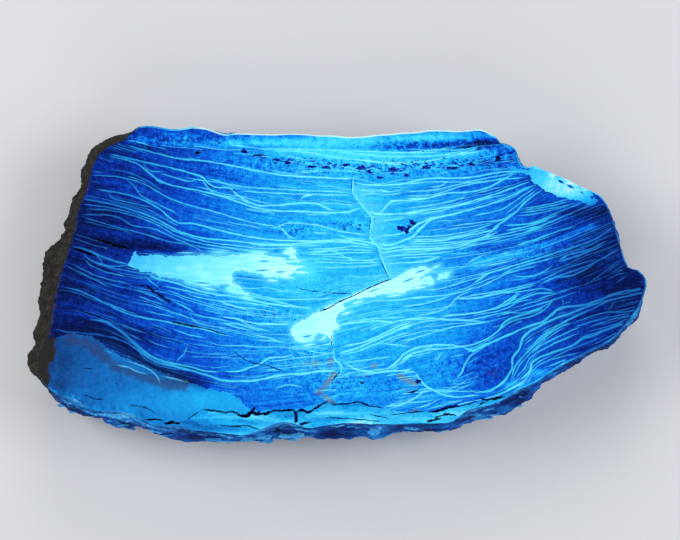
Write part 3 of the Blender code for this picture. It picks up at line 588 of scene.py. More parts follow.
# How the grain runs over the face, from the upper rim to the lower: no two of these cross
grainGuides = [
    [(-92, 55), (-65, 47), (-40, 44), (-20, 42.5), (0, 41.5), (20, 41.5), (45, 43.5), (60, 46), (95, 52)],
    [(-92, 50), (-65, 42.4), (-50, 38.4), (-30, 35.2), (-12, 32.6), (4, 31.4), (10, 30), (20, 30.4), (35, 31.8),
     (50, 34), (60, 36), (95, 44)],
    [(-92, 46), (-70, 39.1), (-60, 35.8), (-50, 29.7), (-40, 27.6), (-30, 24.5), (-20, 22.4), (0, 21.3), (20, 21.3),
     (32.6, 23), (45, 26.3), (55, 29.7), (62, 32), (95, 42)],
    [(-92, 39), (-75, 33), (-65, 31.6), (-55, 27.6), (-45, 23.4), (-30, 19.5), (-18.5, 17), (0, 15.6), (9, 14.3),
     (20, 14.6), (30, 16.6), (40, 17.8), (50, 20), (60, 27.4), (70, 32), (95, 41)],
    [(-92, 31), (-77.3, 25.6), (-65, 22.4), (-55, 19.3), (-47.4, 15.2), (-36, 13.2), (-25, 11.7), (5, 11.7),
     (20, 11.7), (30, 11.9), (45, 14.7), (52, 17), (57.8, 18), (66.3, 21.5), (73.3, 24.3), (95, 34)],
    [(-92, 25), (-78, 20.4), (-65.8, 17.6), (-54.4, 14), (-45, 11), (-32, 9.1), (-5, 9.3), (18, 8.9), (25, 9.3),
     (40, 11.2), (50, 13.2), (60, 15.8), (70, 19.4), (80, 23.6), (95, 30)],
    [(-92, 15), (-80.7, 10.8), (-70, 7.3), (-63, 5.2), (-50, 4.2), (-14, 5.4), (12.9, 5.4), (25, 5.8), (37.6, 5.8),
     (47.6, 7), (57.6, 9.8), (67.6, 13), (80, 18), (95, 25)],
    [(-92, 10), (-76.7, 6), (-67, 2.3), (-60, 0.8), (-50, -0.1), (-36, -3.7), (-24, -6.1), (-8, -7.9), (0, -5),
     (10, -2.4), (25, -1.6), (35, -0.2), (41.7, 1.7), (52.4, 4.9), (67.6, 9.7), (80, 14.6), (95, 21)],
    [(-92, 5), (-82.6, 3), (-68.1, -2), (-55, -5), (-43.3, -9.4), (-25, -12.7), (-5, -12.3), (5, -10), (18, -7.6),
     (25, -6.8), (33.9, -4.2), (48, 1.1), (60, 4), (70, 7.4), (80, 11.4), (95, 17)],
    [(-92, 0), (-82.2, -1.7), (-71.5, -5.7), (-64.1, -9.4), (-55, -11.6), (-36, -15.9), (-15, -18.4), (5, -14.6),
     (18, -11.4), (30, -10.6), (42.4, -9.2), (51.3, -6.6), (60, -3.5), (70, 0), (80, 5), (95, 11)],
    [(-92, -11), (-74.5, -12), (-67.5, -14.2), (-60, -19), (-55, -22.6), (-50, -24.6), (-41, -26.6), (-22, -24.6),
     (-2, -22.4), (10, -18.6), (19.2, -14), (30, -12.8), (43.9, -12.1), (52, -10), (60, -8.2), (66, -6.2), (95, 0.6)],
    [(-92, -14), (-84.3, -14.6), (-70, -16.8), (-62.8, -19.8), (-55, -24.8), (-41, -28), (-32, -30), (-15.3, -28.1),
     (-0.8, -27.1), (12, -26.4), (20.7, -22.6), (34.3, -20), (41, -18.7), (46.9, -15.5), (52, -12.5), (66, -7.8),
     (77.8, -5), (95, -1.2)],
    [(-92, -22), (-75, -20), (-63, -23.5), (-55, -26.6), (-45, -30), (-30, -33), (-8, -31), (12, -29.6), (24, -28),
     (34, -25.6), (40.2, -21.6), (46.1, -18.1), (61, -12.2), (70, -9.5), (80, -6.4), (95, -3)],
    [(-92, -30), (-70, -30), (-50, -35), (-30, -38), (5, -35), (27.6, -32.8), (43.2, -32.4), (49, -30), (51.7, -24),
     (54.5, -18.4), (65, -11.8), (83, -7.6), (95, -5)],
    [(-92, -45), (-50, -45), (0, -42), (20, -40), (35, -37), (50, -32.5), (55.4, -28.3), (57.6, -24.5), (71, -18.2),
     (87, -12.1), (95, -9)],
    [(-92, -50), (0, -48), (30, -45), (60, -34), (75, -25), (95, -13)],
]
guideCurves = [smoothPath(guide, 2.0) for guide in grainGuides]


def guideHeights(x):  # y of every grain guide at each x, one row for each guide
    return np.array([np.interp(x, curve[:, 0], curve[:, 1]) for curve in guideCurves])


def grainPlace(places):  # how far down through the guides each place lies: 0 at the first, 1 at the second
    heights = guideHeights(places[:, 0])
    shares = (heights[:-1] - places[:, 1]) / (heights[:-1] - heights[1:])
    return np.clip(shares, 0, 1).sum(axis=0)


def betweenGuides(x, dice, overlap):  # a path with the grain that may reach past its guides by the overlap
    row = dice.integers(0, len(grainGuides) - 1)
    share = dice.uniform(*fineLines["shares"])
    share = share + fineLines["drift"] * ripple(x - x[0], fineLines["driftWave"], dice)
    upper, lower = guideHeights(x)[row:row + 2]
    return np.column_stack([x, upper + (lower - upper) * np.clip(share, -overlap, 1 + overlap)])


def addFineLines(lines):  # short faint lines between the traced ones, dropped where they would touch another
    dice = np.random.default_rng(fineLines["seed"])
    tree = treeOf(np.vstack([line["path"] for line in lines]))
    made = []
    for _ in range(fineLines["tries"]):
        start = dice.uniform(*fineLines["starts"])
        length = dice.uniform(*fineLines["lengths"])
        x = np.arange(start, min(start + length, fineLines["end"]), fineLines["step"])
        if len(x) < fineLines["fewestPlaces"]:
            continue
        path = betweenGuides(x, dice, 0.0)
        clear = distanceTo(tree, path) > fineLines["clearance"]
        if np.mean(clear) < fineLines["sharePassed"]:
            continue
        half = dice.uniform(*fineLines["half"])
        made.append(lineOnPath(path, half, dice.uniform(*fineLines["glow"]), dice, fineLines["fade"]))
        if len(made) % fineLines["batch"] == 0:
            tree = treeOf(np.vstack([line["path"] for line in lines + made]))
    return made


def shadeLines():  # short dark lines with the grain
    dice = np.random.default_rng(fineLines["seed"] + 1)
    made = []
    for _ in range(fineLines["shadeCount"]):
        start = dice.uniform(*fineLines["shadeStarts"])
        x = np.arange(start, start + dice.uniform(*fineLines["shadeLengths"]), fineLines["step"])
        path = betweenGuides(x, dice, fineLines["shadeOverlap"])
        half = dice.uniform(*fineLines["shadeHalf"])
        made.append(lineOnPath(path, half, dice.uniform(*fineLines["shadeDepth"]), dice, fineLines["fade"]))
    return made


def outsideAll(lines, outlines):  # for each line, which of its places lie outside every outline
    places = np.vstack([line["path"] for line in lines])
    outside = np.ones(len(places), bool)
    for outline in outlines:
        outside &= ~insideOutline(places, outline)
    return np.split(outside, np.cumsum([len(line["path"]) for line in lines])[:-1])


# Pale patches with no growth lines left in them, and the chalky rinds
paleAreas = {
    "seed": 19,
    "patches": [
        [(-63.5, 5), (-62, 8), (-61, 9.5), (-60.5, 8.2), (-56, 8.3), (-50, 7.8), (-40, 8.3), (-34, 8), (-30, 8.4),
         (-20, 8), (-17, 7.5), (-15, 7), (-14, 9), (-12.6, 7.4), (-14, 6), (-18, 5.4), (-14, 5), (-12, 4),
         (-13.5, 3.5), (-14, 2.5), (-18, 1.5), (-21, 1.3), (-24, 2.5), (-27, 3), (-31.5, 3), (-32, 1.5), (-32, 0),
         (-36, -1), (-40, -1.3), (-45, -0.5), (-48, 0.8), (-53, 1.5), (-57, 3), (-59, 3), (-61, 4)],
        [(-34, -2), (-31.5, -0.5), (-30, -1), (-29, -2.5), (-27, -4), (-30, -3.8), (-33, -3)],
        [(-17, 8.6), (-15.4, 10.4), (-13.6, 10.2), (-13, 8.8), (-14.6, 8.2)],
        [(-14.5, -14.5), (-14, -16.5), (-12.5, -18), (-10.5, -18.5), (-8, -18), (-7, -16.5), (-5, -15.8),
         (-3.5, -16.5), (-2, -18), (-1.8, -15), (0, -14.3), (-0.8, -12), (0, -9.5), (2, -8), (1, -7), (4, -5.5),
         (8, -4.8), (14, -3.8), (20, -3), (25, -1), (28.5, -0.3), (28, 1.2), (27, 1.8), (24.5, 1), (25.5, 2),
         (26, 2.5), (28, 3.5), (26, 4.5), (24.5, 4.6), (22, 4), (19, 2.5), (16.5, 0.8), (15, 0.5), (10, -1.5),
         (4, -4), (0, -6), (-5, -8.3), (-8, -10), (-11, -12), (-13, -12.8)],
        [(29.5, 0.5), (30, 2), (31.5, 3), (33.5, 3.2), (33, 2)],
    ],
    "rinds": [
        [(57.5, 34.5), (58.4, 35.7), (60, 36.2), (61.4, 35.7), (62.5, 34.3), (65, 33.7), (66.6, 33), (70, 31.2),
         (73.5, 29), (76, 28.4), (76.8, 26.4), (78, 25), (77.5, 23.8), (75, 24), (72, 25.2), (69, 25.6), (66, 26.5),
         (63, 28), (60.5, 29.5), (58.5, 31), (57.5, 33), (55, 33.9), (52, 34.9), (52, 35.4), (55, 34.9)],
        [(-95, -14), (-85, -17), (-80, -16), (-75, -16.3), (-72, -17.5), (-70, -19.5), (-67.5, -21), (-63, -23.5),
         (-58, -25.5), (-54, -27), (-50, -28.3), (-45, -30.3), (-40, -32), (-36, -33), (-32, -34), (-30, -35),
         (-28, -37), (-26.5, -38.5), (-20, -38.6), (-12, -38.4), (-5, -36.6), (3, -36.2), (10, -37.6), (16, -40),
         (18, -48), (-60, -50), (-95, -42)],
    ],
    "step": 0.45,  # mm between an outline's places
    "haloStep": 0.4,  # mm between the places by which the distance to a patch is measured
    "waves": (4.5, 1.3),  # mm: an outline strays at these two scales, but not close to where it starts and ends
    "wander": 0.24,
    "calm": 3.0,
    "haloReach": 0.8,  # mm round a patch over which the polish stays pale
    "haloGlow": 0.6,
}

# Splinters of patch that run out along the grain: x, y, length, half width and slant in degrees
paleSplinters = [
    (-12.4, 4.6, 4.6, 0.35, 2), (-12.8, 6.3, 3.6, 0.3, 4), (-11.5, 2.9, 5.2, 0.35, -2), (-15.5, 1.3, 4.8, 0.3, -3),
    (-20, 0.4, 3.6, 0.3, -5), (-24.5, 8.9, 5.5, 0.3, -1), (-46, 8.9, 6, 0.22, 1), (-36, 9.1, 5, 0.22, -2),
    (-39, -2.1, 4, 0.3, -10), (-27.5, -4.9, 3.6, 0.3, -12), (29, 4.6, 3.0, 0.3, 22), (30.4, 1.2, 2.4, 0.25, 15),
    (24.2, -1.8, 5.4, 0.3, 12), (16.5, -4.2, 5.2, 0.3, 8), (5.5, -6.3, 3.6, 0.3, 15), (2.2, -9.6, 3.4, 0.3, 18),
    (-4.6, -17.2, 2.6, 0.3, 30), (-9, -19.2, 3.2, 0.25, 12), (12.5, -0.3, 2.6, 0.25, 27),
    (-1.4, -14.2, 2.2, 0.3, 20),
]

# Splinters of blue that run into the patches and rinds in the same way
blueSplinters = [
    (67.2, 30.9, 2.4, 0.4, -30), (70, 29.4, 2.8, 0.45, -28), (76.4, 26, 1.4, 0.45, -60),
    (73.4, 27.5, 1.8, 0.25, -30), (-18, 7.9, 7, 0.35, -3), (-22.5, 6.3, 4, 0.22, 0), (-14.8, 6.8, 4.4, 0.3, 3),
    (-23, 3.5, 5, 0.28, 4), (-41, -0.4, 6, 0.25, -4), (21, 0.6, 5, 0.25, 22), (24.4, 3.2, 4, 0.25, 20),
    (-36.5, 7.9, 5, 0.2, 0), (10.5, -2.6, 4.6, 0.22, 18), (-9.5, -16.6, 3.4, 0.3, 12), (-17.5, 3.0, 4, 0.25, 2),
]


def raggedOutline(points, dice):  # a closed outline through the points that strays as a broken edge does
    curve = smoothPath(points + points[:1], paleAreas["step"])[:-1]
    distance = alongPath(curve)
    length = distance[-1]
    stray = np.zeros(len(curve))
    for wave in paleAreas["waves"]:
        rounds = max(1, round(length / wave))
        stray += paleAreas["wander"] * ripple(distance, length / rounds, dice)
    fading = np.clip(np.minimum(distance, length - distance) / paleAreas["calm"], 0, 1)
    return curve + acrossPath(curve) * (stray * fading)[:, None]


def splinterOutline(x, y, length, half, slant):  # pointed at both ends
    turns = np.linspace(0, 2 * math.pi, 14, endpoint=False)
    shape = np.column_stack([np.cos(turns) * length / 2, np.sin(turns) ** 3 * half])
    angle = math.radians(slant)
    turned = shape @ np.array([[math.cos(angle), math.sin(angle)], [-math.sin(angle), math.cos(angle)]])
    return turned + (x, y)


def paleOutlines():
    dice = np.random.default_rng(paleAreas["seed"])
    patches = [raggedOutline(points, dice) for points in paleAreas["patches"]]
    rinds = [raggedOutline(points, dice) for points in paleAreas["rinds"]]
    return patches + [splinterOutline(*splinter) for splinter in paleSplinters], rinds


def palenessAt(places, outlines):  # how pale the polish is beside the healed break and round the patches
    rims = np.vstack([evenLoop(outline, paleAreas["haloStep"]) for outline in outlines])
    toPatch = distanceTo(treeOf(rims), places)
    halo = paleAreas["haloGlow"] * np.exp(-(toPatch / paleAreas["haloReach"]) ** 2)
    return np.maximum(paleBesideBreak(places), halo)


# Open cracks: places, half width and depth in mm
cracks = [
    ([(-6, -9.1), (-4, -8.4), (0.4, -6), (4.4, -4.2), (9.8, -1.5), (12.8, -0.2), (15.4, 0.9)], 0.17, 0.7),
    ([(-60, -1.2), (-57.8, -1.3), (-55.4, -3), (-52.8, -4.6), (-50.2, -6.4)], 0.34, 1.5),
    ([(-50.5, -12), (-46.8, -12.9), (-43.4, -13.6), (-41, -13.9)], 0.3, 1.3),
    ([(-79.8, 10.4), (-78.6, 9.8), (-75.6, 8.8), (-73, 7.8)], 0.32, 1.5),
    ([(-73, 13), (-69.8, 12.1), (-66.4, 11), (-62.8, 10.2)], 0.4, 1.2),
    ([(20.4, -33.6), (22, -33.3), (23.8, -32.4)], 0.3, 1.0),
    ([(4, 32.6), (3.9, 30.9), (3.8, 28)], 0.12, 0.4),
    ([(9.6, 20), (9.3, 17), (9, 13.6)], 0.1, 0.3),
    ([(12.6, 6.6), (13.6, 4), (14.9, 1.2)], 0.12, 0.4),
    ([(-2, -16.2), (-2.4, -18), (-1.7, -20.4)], 0.16, 0.6),
    ([(0.4, -27.4), (-1, -28.6), (-2, -30)], 0.2, 0.8),
    ([(-41, -13.9), (-37, -15.1), (-33.4, -16.3)], 0.14, 0.4),
    ([(-12.3, -1.8), (-10, -2.6), (-5.4, -2.9)], 0.15, 0.3),
    ([(-5, -3.3), (-1, -3.5), (4, -3.6)], 0.15, 0.3),
    ([(-31.2, -21.3), (-29.3, -22.7), (-27.5, -23.9), (-21.2, -25.5), (-16, -27.3)], 0.14, 0.3),
    # fissures between the flakes of the lower edge
    ([(-40.6, -38.8), (-38, -38.8), (-34, -39.4), (-31.5, -39.3), (-29.6, -40)], 0.24, 1.4),
    ([(-30.2, -39.8), (-28, -40.6), (-26.8, -40.4), (-26, -39.4), (-25, -37.9)], 0.52, 2.6),
    ([(-26.3, -39.5), (-24.5, -39.7), (-22, -39.9), (-20, -39.3), (-18, -38.9), (-15, -38.9), (-13.2, -38.8)],
     0.42, 2.4),
    ([(-13.4, -38.8), (-12.6, -39.8), (-12.8, -41), (-13.1, -42.6)], 0.44, 2.4),
    ([(-12.7, -39.5), (-11.6, -38.8), (-10.4, -39), (-9.4, -39.4), (-8.4, -39), (-6.4, -37.8), (-5, -37),
      (-3.4, -36.3)], 0.32, 2.0),
    ([(-35, -43.3), (-31, -43.4), (-27, -43.4), (-25, -43.9), (-23.4, -44.4)], 0.2, 1.2),
    ([(-1.6, -37), (2, -36.9), (6.4, -36.5), (8.5, -37.3), (12.8, -38.1)], 0.24, 1.2),
    ([(-12, -43.6), (-10.8, -42.6), (-8.6, -42.2)], 0.4, 2.0),
    ([(9, -39.9), (12.5, -40.6), (14.5, -41.2)], 0.16, 0.9),
    ([(-4, -40.9), (1, -41), (6, -41.4), (12, -42)], 0.13, 0.7),
    ([(26.6, -39.4), (28.6, -39), (30.5, -38.6), (32, -38), (35.6, -37.6)], 0.42, 2.0),
    ([(28.4, -40.9), (30, -40.4), (32, -40), (34.6, -40.2)], 0.32, 1.6),
    ([(25, -42.6), (27, -41.9), (28.6, -41.5), (30.2, -41.1)], 0.34, 1.6),
    ([(15, -40.2), (20, -39.6), (25.4, -39.2)], 0.13, 0.7),
    ([(42, -35.3), (44, -35.6), (45.4, -35.5), (47, -35.2), (49.2, -34.6)], 0.34, 1.8),
    ([(41.2, -37.4), (42.6, -36.5), (43.6, -36.5)], 0.3, 1.4),
    ([(36, -37.6), (38.4, -36.9), (40.4, -36.2)], 0.2, 1.0),
    ([(21, -38.6), (23.2, -39.2), (24.2, -39)], 0.22, 1.0),
    ([(-57.4, -41.8), (-54, -41.6), (-51.8, -41.9)], 0.24, 1.0),
    ([(-62, -37.2), (-57, -38.2), (-54.4, -39.6)], 0.16, 0.6),
    ([(-51.6, -42.6), (-47.4, -42.8), (-45, -43.6)], 0.4, 1.6),
    ([(-44.6, -41.4), (-42.8, -40.2), (-41, -38.9)], 0.16, 0.8),
    ([(-76, -26.2), (-74.6, -26.4), (-73, -26.2)], 0.16, 0.4),
    ([(-66.4, -30.6), (-65.4, -31.2)], 0.2, 0.5),
    ([(-76, -34), (-72.6, -35.3), (-70, -35.6)], 0.16, 0.5),
]

# A crack is more jagged than a growth line
jagged = {
    "seed": 5,
    "step": 0.6,
    "stray": 0.26,  # share of the half width by which a place strays
    "widths": (0.55, 1.35),
    "fade": 1.5,
    "leastDepth": 0.04,  # mm, past which a place counts as hollow
}


def crackLines():  # the glow of these lines is their depth
    dice = np.random.default_rng(jagged["seed"])
    made = []
    for points, half, depth in cracks:
        path = smoothPath(points, jagged["step"])
        path[1:-1] += dice.normal(0, jagged["stray"] * half, (len(path) - 2, 2))
        line = lineOnPath(path, half, depth, dice, jagged["fade"])
        line["halves"] = line["halves"] * dice.uniform(*jagged["widths"], len(path))
        made.append(line)
    return made


# Hollows in the polish: x, y, half length, half width and depth in mm
pits = [
    (18.8, 16.4, 1.2, 0.95, 1.4), (20.4, 15.8, 0.9, 0.8, 1.3), (22.2, 18.2, 0.95, 0.85, 1.2),
    (21.2, 17, 0.6, 0.5, 0.8), (23.5, -30.2, 0.75, 0.7, 1.0), (6.8, -30.6, 0.6, 0.4, 0.8),
    (-28.8, 40.4, 1.1, 0.6, 0.9), (-24.4, 39.2, 1.8, 0.4, 0.7), (-43, 40, 0.8, 0.5, 0.7),
    (-19, 37.8, 1.0, 0.5, 0.8), (-15.6, 36.9, 1.2, 0.5, 0.8), (-8.2, 35.6, 1.2, 0.5, 0.8),
    (-3.8, 35.4, 1.3, 0.5, 0.9), (2, 36.2, 0.9, 0.5, 0.8), (6.6, 35.3, 1.3, 0.6, 0.9), (9, 34, 0.8, 0.5, 0.8),
    (12.4, 32.2, 1.0, 0.4, 0.8), (16.4, 34.8, 1.4, 0.5, 0.9), (20.5, 32.9, 0.6, 0.6, 0.8),
    (26.4, 35.4, 1.4, 0.5, 0.8), (34.4, 35.2, 1.6, 0.5, 0.9), (40.2, 36.4, 0.8, 0.6, 0.7),
    (48.2, 38.2, 1.0, 0.7, 0.9),
]

# Specks are the smallest hollows, strewn by a rule along these bands: first and last place, spread and count
specks = {
    "seed": 7,
    "bands": [
        ((-24, 38.6), (2, 36.2), 0.8, 44), ((2, 35.8), (48, 37.2), 0.8, 86), ((4, 33.6), (22, 34), 0.8, 22),
        ((-62, 43), (-40, 40), 1.4, 16), ((-40, 30), (-30, 29), 1.2, 6),
        ((-17, 16.2), (-10, 16.4), 0.9, 7), ((0, 17.4), (8, 17.4), 0.7, 7), ((-22, -9.4), (-12, -10.4), 1.2, 5),
        ((20, 41.6), (44, 43), 1.0, 14), ((-60, 45), (-36, 43.4), 0.8, 8),
    ],
    "half": (0.16, 0.42),
    "stretch": (1.6, 0.62),  # along and across the grain
    "depth": (0.05, 0.16),
}

# Strength of each wave in the rim of a hollow, and how often it goes round
rimWaves = [(0.2, 2), (0.13, 3), (0.08, 5)]


def speckPits():  # the specks as pits of the same form
    dice = np.random.default_rng(specks["seed"])
    along, across = specks["stretch"]
    made = []
    for start, end, spread, count in specks["bands"]:
        for _ in range(count):
            share = dice.uniform()
            x = start[0] + (end[0] - start[0]) * share
            y = start[1] + (end[1] - start[1]) * share + dice.normal() * spread
            half = dice.uniform(*specks["half"])
            made.append((x, y, half * along, half * across, dice.uniform(*specks["depth"])))
    return made


def allHollows():
    dice = np.random.default_rng(specks["seed"] + 1)
    return [{"size": size, "turns": dice.uniform(0, 2 * math.pi, 3)} for size in pits + speckPits()]


def rimReach(angle, turns):  # how far a hollow's rim lies out, as a share of its ellipse
    reach = 1
    for (strength, rounds), turn in zip(rimWaves, turns):
        reach = reach + strength * np.sin(rounds * angle + turn)
    return reach


def pitDepths(places, hollows):  # how deep each place lies in the hollows; 0 outside them
    depths = np.zeros(len(places))
    furthest = 1 + sum(strength for strength, _ in rimWaves)
    for hollow in hollows:
        x, y, halfLength, halfWidth, depth = hollow["size"]
        dx = (places[:, 0] - x) / halfLength
        dy = (places[:, 1] - y) / halfWidth
        near = np.nonzero((np.abs(dx) < furthest) & (np.abs(dy) < furthest))[0]
        away = np.hypot(dx[near], dy[near]) / rimReach(np.arctan2(dy[near], dx[near]), hollow["turns"])
        depths[near] = np.maximum(depths[near], depth * np.sqrt(np.clip(1 - away**2, 0, 1)))
    return depths


# Tones of the face as soft round areas: x, y, reach along x and y, and how much they add
tonesAndLampLight = {
    "base": 0.03,
    "bandStep": 0.8,  # mm between the places of a band
    "grainWidth": 6.0,  # what the noises take the space between two grain guides to be
    "areas": [
        # The first area is painted light: the lamp's broad pool, bright over the middle and falling off towards both
        # ends
        (5, 8, 60, 90, 0.77), (14, 37, 38, 3.4, 0.12), (-4, 44, 46, 3, 0.02), (10, -8, 34, 14, 0.06),
        (-34, -1, 22, 10, 0.12), (-70, 18, 11, 7, -0.1), (-50, 12, 14, 3, -0.1), (-66, -17, 16, 3.4, -0.12),
        (-46, -29, 12, 3, -0.14), (-12, -34, 18, 5, -0.04), (44, -25, 9, 8, -0.16), (30, 42, 14, 2, -0.14),
        (-50, 40, 18, 4, -0.04), (52, -10, 6, 5, -0.12), (80, 6, 14, 20, -0.14), (0, 40.6, 46, 2.2, 0.1),
        (-84, 0, 8, 40, -0.08), (34, -35, 18, 3, 0.08), (72, 27.4, 7, 3, 0.3),
        (74, 21.5, 10, 2, -0.14), (44, 10.6, 9, 1, -0.1), (74, 3, 8, 3, -0.1), (-54, 10.8, 12, 1.6, -0.14),
        (46, 17.6, 5, 1.2, -0.1), (60, 31, 4, 1.6, -0.12), (-47, 45, 3, 1, 0.3), (-31.4, 42.8, 3.4, 0.8, 0.5),
        (-58, 41.8, 6, 0.8, -0.1), (-10, 43.4, 14, 1.2, 0.16), (59, -27.6, 3.4, 1.6, 0.4), (53, -31.2, 5, 1.6, 0.4),
        (66, -24.6, 8, 1, 0.12), (-19, 42, 5, 1, -0.16), (-59, 45.2, 3, 0.8, 0.25), (-52, 45.4, 1.6, 0.6, 0.25),
        (-10.5, 3.4, 6, 4, 0.16), (-13, 44, 3, 0.8, -0.4), (-17.5, 43.8, 2, 0.6, -0.25),
        (43, 43.5, 4, 1.6, -0.25), (10.7, 42.1, 2.4, 0.8, -0.2),
    ],
    # bands along a path: its places, half width and how much it adds
    "bands": [
        ([(-80, -14), (-75, -14.2), (-66, -18.8), (-58, -24.2), (-50, -28), (-40, -31.4)], 1.5, -0.22),
        ([(-80, 12.5), (-70, 12.2), (-60, 10.6), (-50, 9.6), (-40, 9.8)], 1.6, -0.07),
        ([(-63, -1), (-52, -5), (-40, -9.4)], 2.0, -0.06),
        ([(41, 5.6), (50, 7.8), (58, 9.8), (65, 12), (76, 17.2)], 1.2, 0.24),
        ([(-26, 43.4), (0, 44), (20, 44.6), (34, 45.2), (48, 45.4)], 0.9, 0.42),
        ([(14, 41.8), (28, 42.2), (40, 42.8), (48, 43.4)], 1.1, -0.22),
        ([(-22, 40.6), (0, 39.6), (22, 39), (46, 39.8)], 1.1, 0.2),
        ([(-63, 43.4), (-54, 43.2), (-44, 42.6), (-34, 42.2)], 0.9, 0.22),
    ],
    # The second chalk area, along the upper edge, is partly chalk and partly a painted highlight on that rim
    "chalk": [(66, 30, 15, 6, 0.42), (6, 47, 48, 2.2, 0.8), (-42, -36, 24, 5, 0.12), (-84, -26, 8, 10, -0.06)],
    "granular": [
        (10, 35.6, 42, 2.6, 1.0), (28, 42.4, 20, 1.8, 0.9), (-50, 44, 16, 2, 0.6), (-14, 16, 4.6, 2, 0.9),
        (2, 17.5, 7, 1.4, 0.8), (-20, -9.6, 10, 2.4, 0.6), (32, -26, 9, 5, 0.35), (46, -24, 5, 8, 0.3),
        (-10, -23.6, 10, 4.6, 0.6), (2, -31, 16, 3.4, 0.5), (62, 9, 14, 3.4, 0.5), (48, 40, 6, 4, 0.8),
        (0, 44.2, 44, 1.3, 0.5),
    ],
    "stainBands": [
        ([(-80, -17.6), (-76, -18.4), (-72.6, -20.8), (-69.6, -22.8), (-66, -26), (-60, -28.4), (-53, -30.4),
          (-46, -31.4)], 1.5, 1.0),
        ([(-1.5, -28.1), (-3.6, -30.8), (-5.8, -33.7)], 0.7, 1.7),
        ([(-4, -35), (-1.5, -36.8)], 0.6, 1.5),
        ([(18.1, -28.6), (20.4, -30), (22.7, -31)], 0.8, 1.4),
    ],
    "stains": [
        (-72.7, -20.8, 3, 2.8, 0.5), (-78.2, -18.6, 4, 1.2, 0.3), (-48.4, -31.4, 3.5, 1.4, 0.5),
        (-5.6, -17.3, 1.8, 1.2, 0.8), (-7.7, -24.8, 3.6, 1.4, 0.8), (-2.4, -24.4, 1.2, 1.5, 1.0),
        (10.7, -25.5, 1.8, 1.1, 0.8), (21.5, -33.2, 1.4, 0.5, 0.9), (22.2, -38.9, 1.4, 0.6, 0.9),
        (46, -26.6, 3, 2.4, 0.4),
    ],
}


def softAreas(places, areas):  # the sum of soft round areas at each place
    total = np.zeros(len(places))
    for x, y, reachX, reachY, amount in areas:
        away = ((places[:, 0] - x) / reachX) ** 2 + ((places[:, 1] - y) / reachY) ** 2
        total += amount * np.exp(-away)
    return total


def softBands(places, bands):  # the sum of soft bands along paths at each place
    total = np.zeros(len(places))
    for points, half, amount in bands:
        path = smoothPath(points, tonesAndLampLight["bandStep"])
        band = {"path": path, "halves": np.full(len(path), 2 * half), "glows": np.ones(len(path))}
        share = lineGlow(places, [band])
        total += amount * share * share * (3 - 2 * share)
    return total


def saveValues(mesh, name, values):
    stored = mesh.attributes.new(name, "FLOAT", "POINT")
    stored.data.foreach_set("value", np.asarray(values, np.float32))


def saveTones(mesh, places):
    # The tone holds the painted pool of lamp light as well as the stone's own tone
    tone = tonesAndLampLight["base"] + softAreas(places, tonesAndLampLight["areas"]) + softBands(places, tonesAndLampLight["bands"])
    stain = softAreas(places, tonesAndLampLight["stains"]) + softBands(places, tonesAndLampLight["stainBands"])
    saveValues(mesh, "tone", np.clip(tone, 0, 1))
    saveValues(mesh, "stain", np.clip(stain, 0, 1))
    saveValues(mesh, "granular", np.clip(softAreas(places, tonesAndLampLight["granular"]), 0, 1))
    saveValues(mesh, "chalkLight", softAreas(places, tonesAndLampLight["chalk"]))
    saveValues(mesh, "alongGrain", places[:, 0])
    saveValues(mesh, "acrossGrain", grainPlace(places) * tonesAndLampLight["grainWidth"])


def addNode(tree, kind, **settings):
    made = tree.nodes.new(kind)
    for name, value in settings.items():
        setattr(made, name, value)
    return made


def link(tree, value, socket):  # a value is another node's socket or a plain one
    if hasattr(value, "links"):
        tree.links.new(value, socket)
    else:
        socket.default_value = value


def mathNode(tree, operation, *values):
    made = addNode(tree, "ShaderNodeMath", operation=operation)
    for socket, value in zip(made.inputs, values):
        link(tree, value, socket)
    return made.outputs[0]


def vectorNode(tree, operation, *values):
    made = addNode(tree, "ShaderNodeVectorMath", operation=operation)
    sockets = [made.inputs[0], made.inputs["Scale"]] if operation == "SCALE" else made.inputs
    for socket, value in zip(sockets, values):
        link(tree, value, socket)
    return made.outputs[0]


def weightedSum(tree, *terms):  # each term is a value and its weight
    total = 0.0
    for value, weight in terms:
        total = mathNode(tree, "MULTIPLY_ADD", value, weight, total)
    return total


def centred(tree, noiseValue):  # a noise of 0 to 1 as one about 0
    return mathNode(tree, "SUBTRACT", noiseValue, 0.5)


def noiseAt(tree, vector, scale, detail, roughness=0.5):
    made = addNode(tree, "ShaderNodeTexNoise", noise_dimensions="3D")
    for name, value in {"Scale": scale, "Detail": detail, "Roughness": roughness, "Vector": vector}.items():
        link(tree, value, made.inputs[name])
    return made.outputs["Fac"]


def between(tree, value, low, high, newLow=0.0, newHigh=1.0):  # a smooth step from low to high
    made = addNode(tree, "ShaderNodeMapRange", interpolation_type="SMOOTHSTEP")
    for socket, number in zip(made.inputs, (value, low, high, newLow, newHigh)):
        link(tree, number, socket)
    return made.outputs[0]


def combined(tree, *values):  # one vector of three values
    made = addNode(tree, "ShaderNodeCombineXYZ")
    for socket, value in zip(made.inputs, values):
        link(tree, value, socket)
    return made.outputs[0]


def newNodeTree(name, numbers):  # a tree with geometry in and out and a named input for each number
    tree = bpy.data.node_groups.new(name, "GeometryNodeTree")
    tree.interface.new_socket("Geometry", in_out="INPUT", socket_type="NodeSocketGeometry")
    tree.interface.new_socket("Geometry", in_out="OUTPUT", socket_type="NodeSocketGeometry")
    places = {}
    for label, value in numbers.items():
        kind = "NodeSocketInt" if isinstance(value, int) else "NodeSocketFloat"
        places[label] = tree.interface.new_socket(label, in_out="INPUT", socket_type=kind).identifier
    return tree, addNode(tree, "NodeGroupInput"), addNode(tree, "NodeGroupOutput"), places


def finishTree(tree, geometry, end, material):  # instances made real and the material set
    real = addNode(tree, "GeometryNodeRealizeInstances")
    link(tree, geometry, real.inputs[0])
    coloured = addNode(tree, "GeometryNodeSetMaterial")
    coloured.inputs["Material"].default_value = material
    link(tree, real.outputs[0], coloured.inputs["Geometry"])
    link(tree, coloured.outputs[0], end.inputs[0])


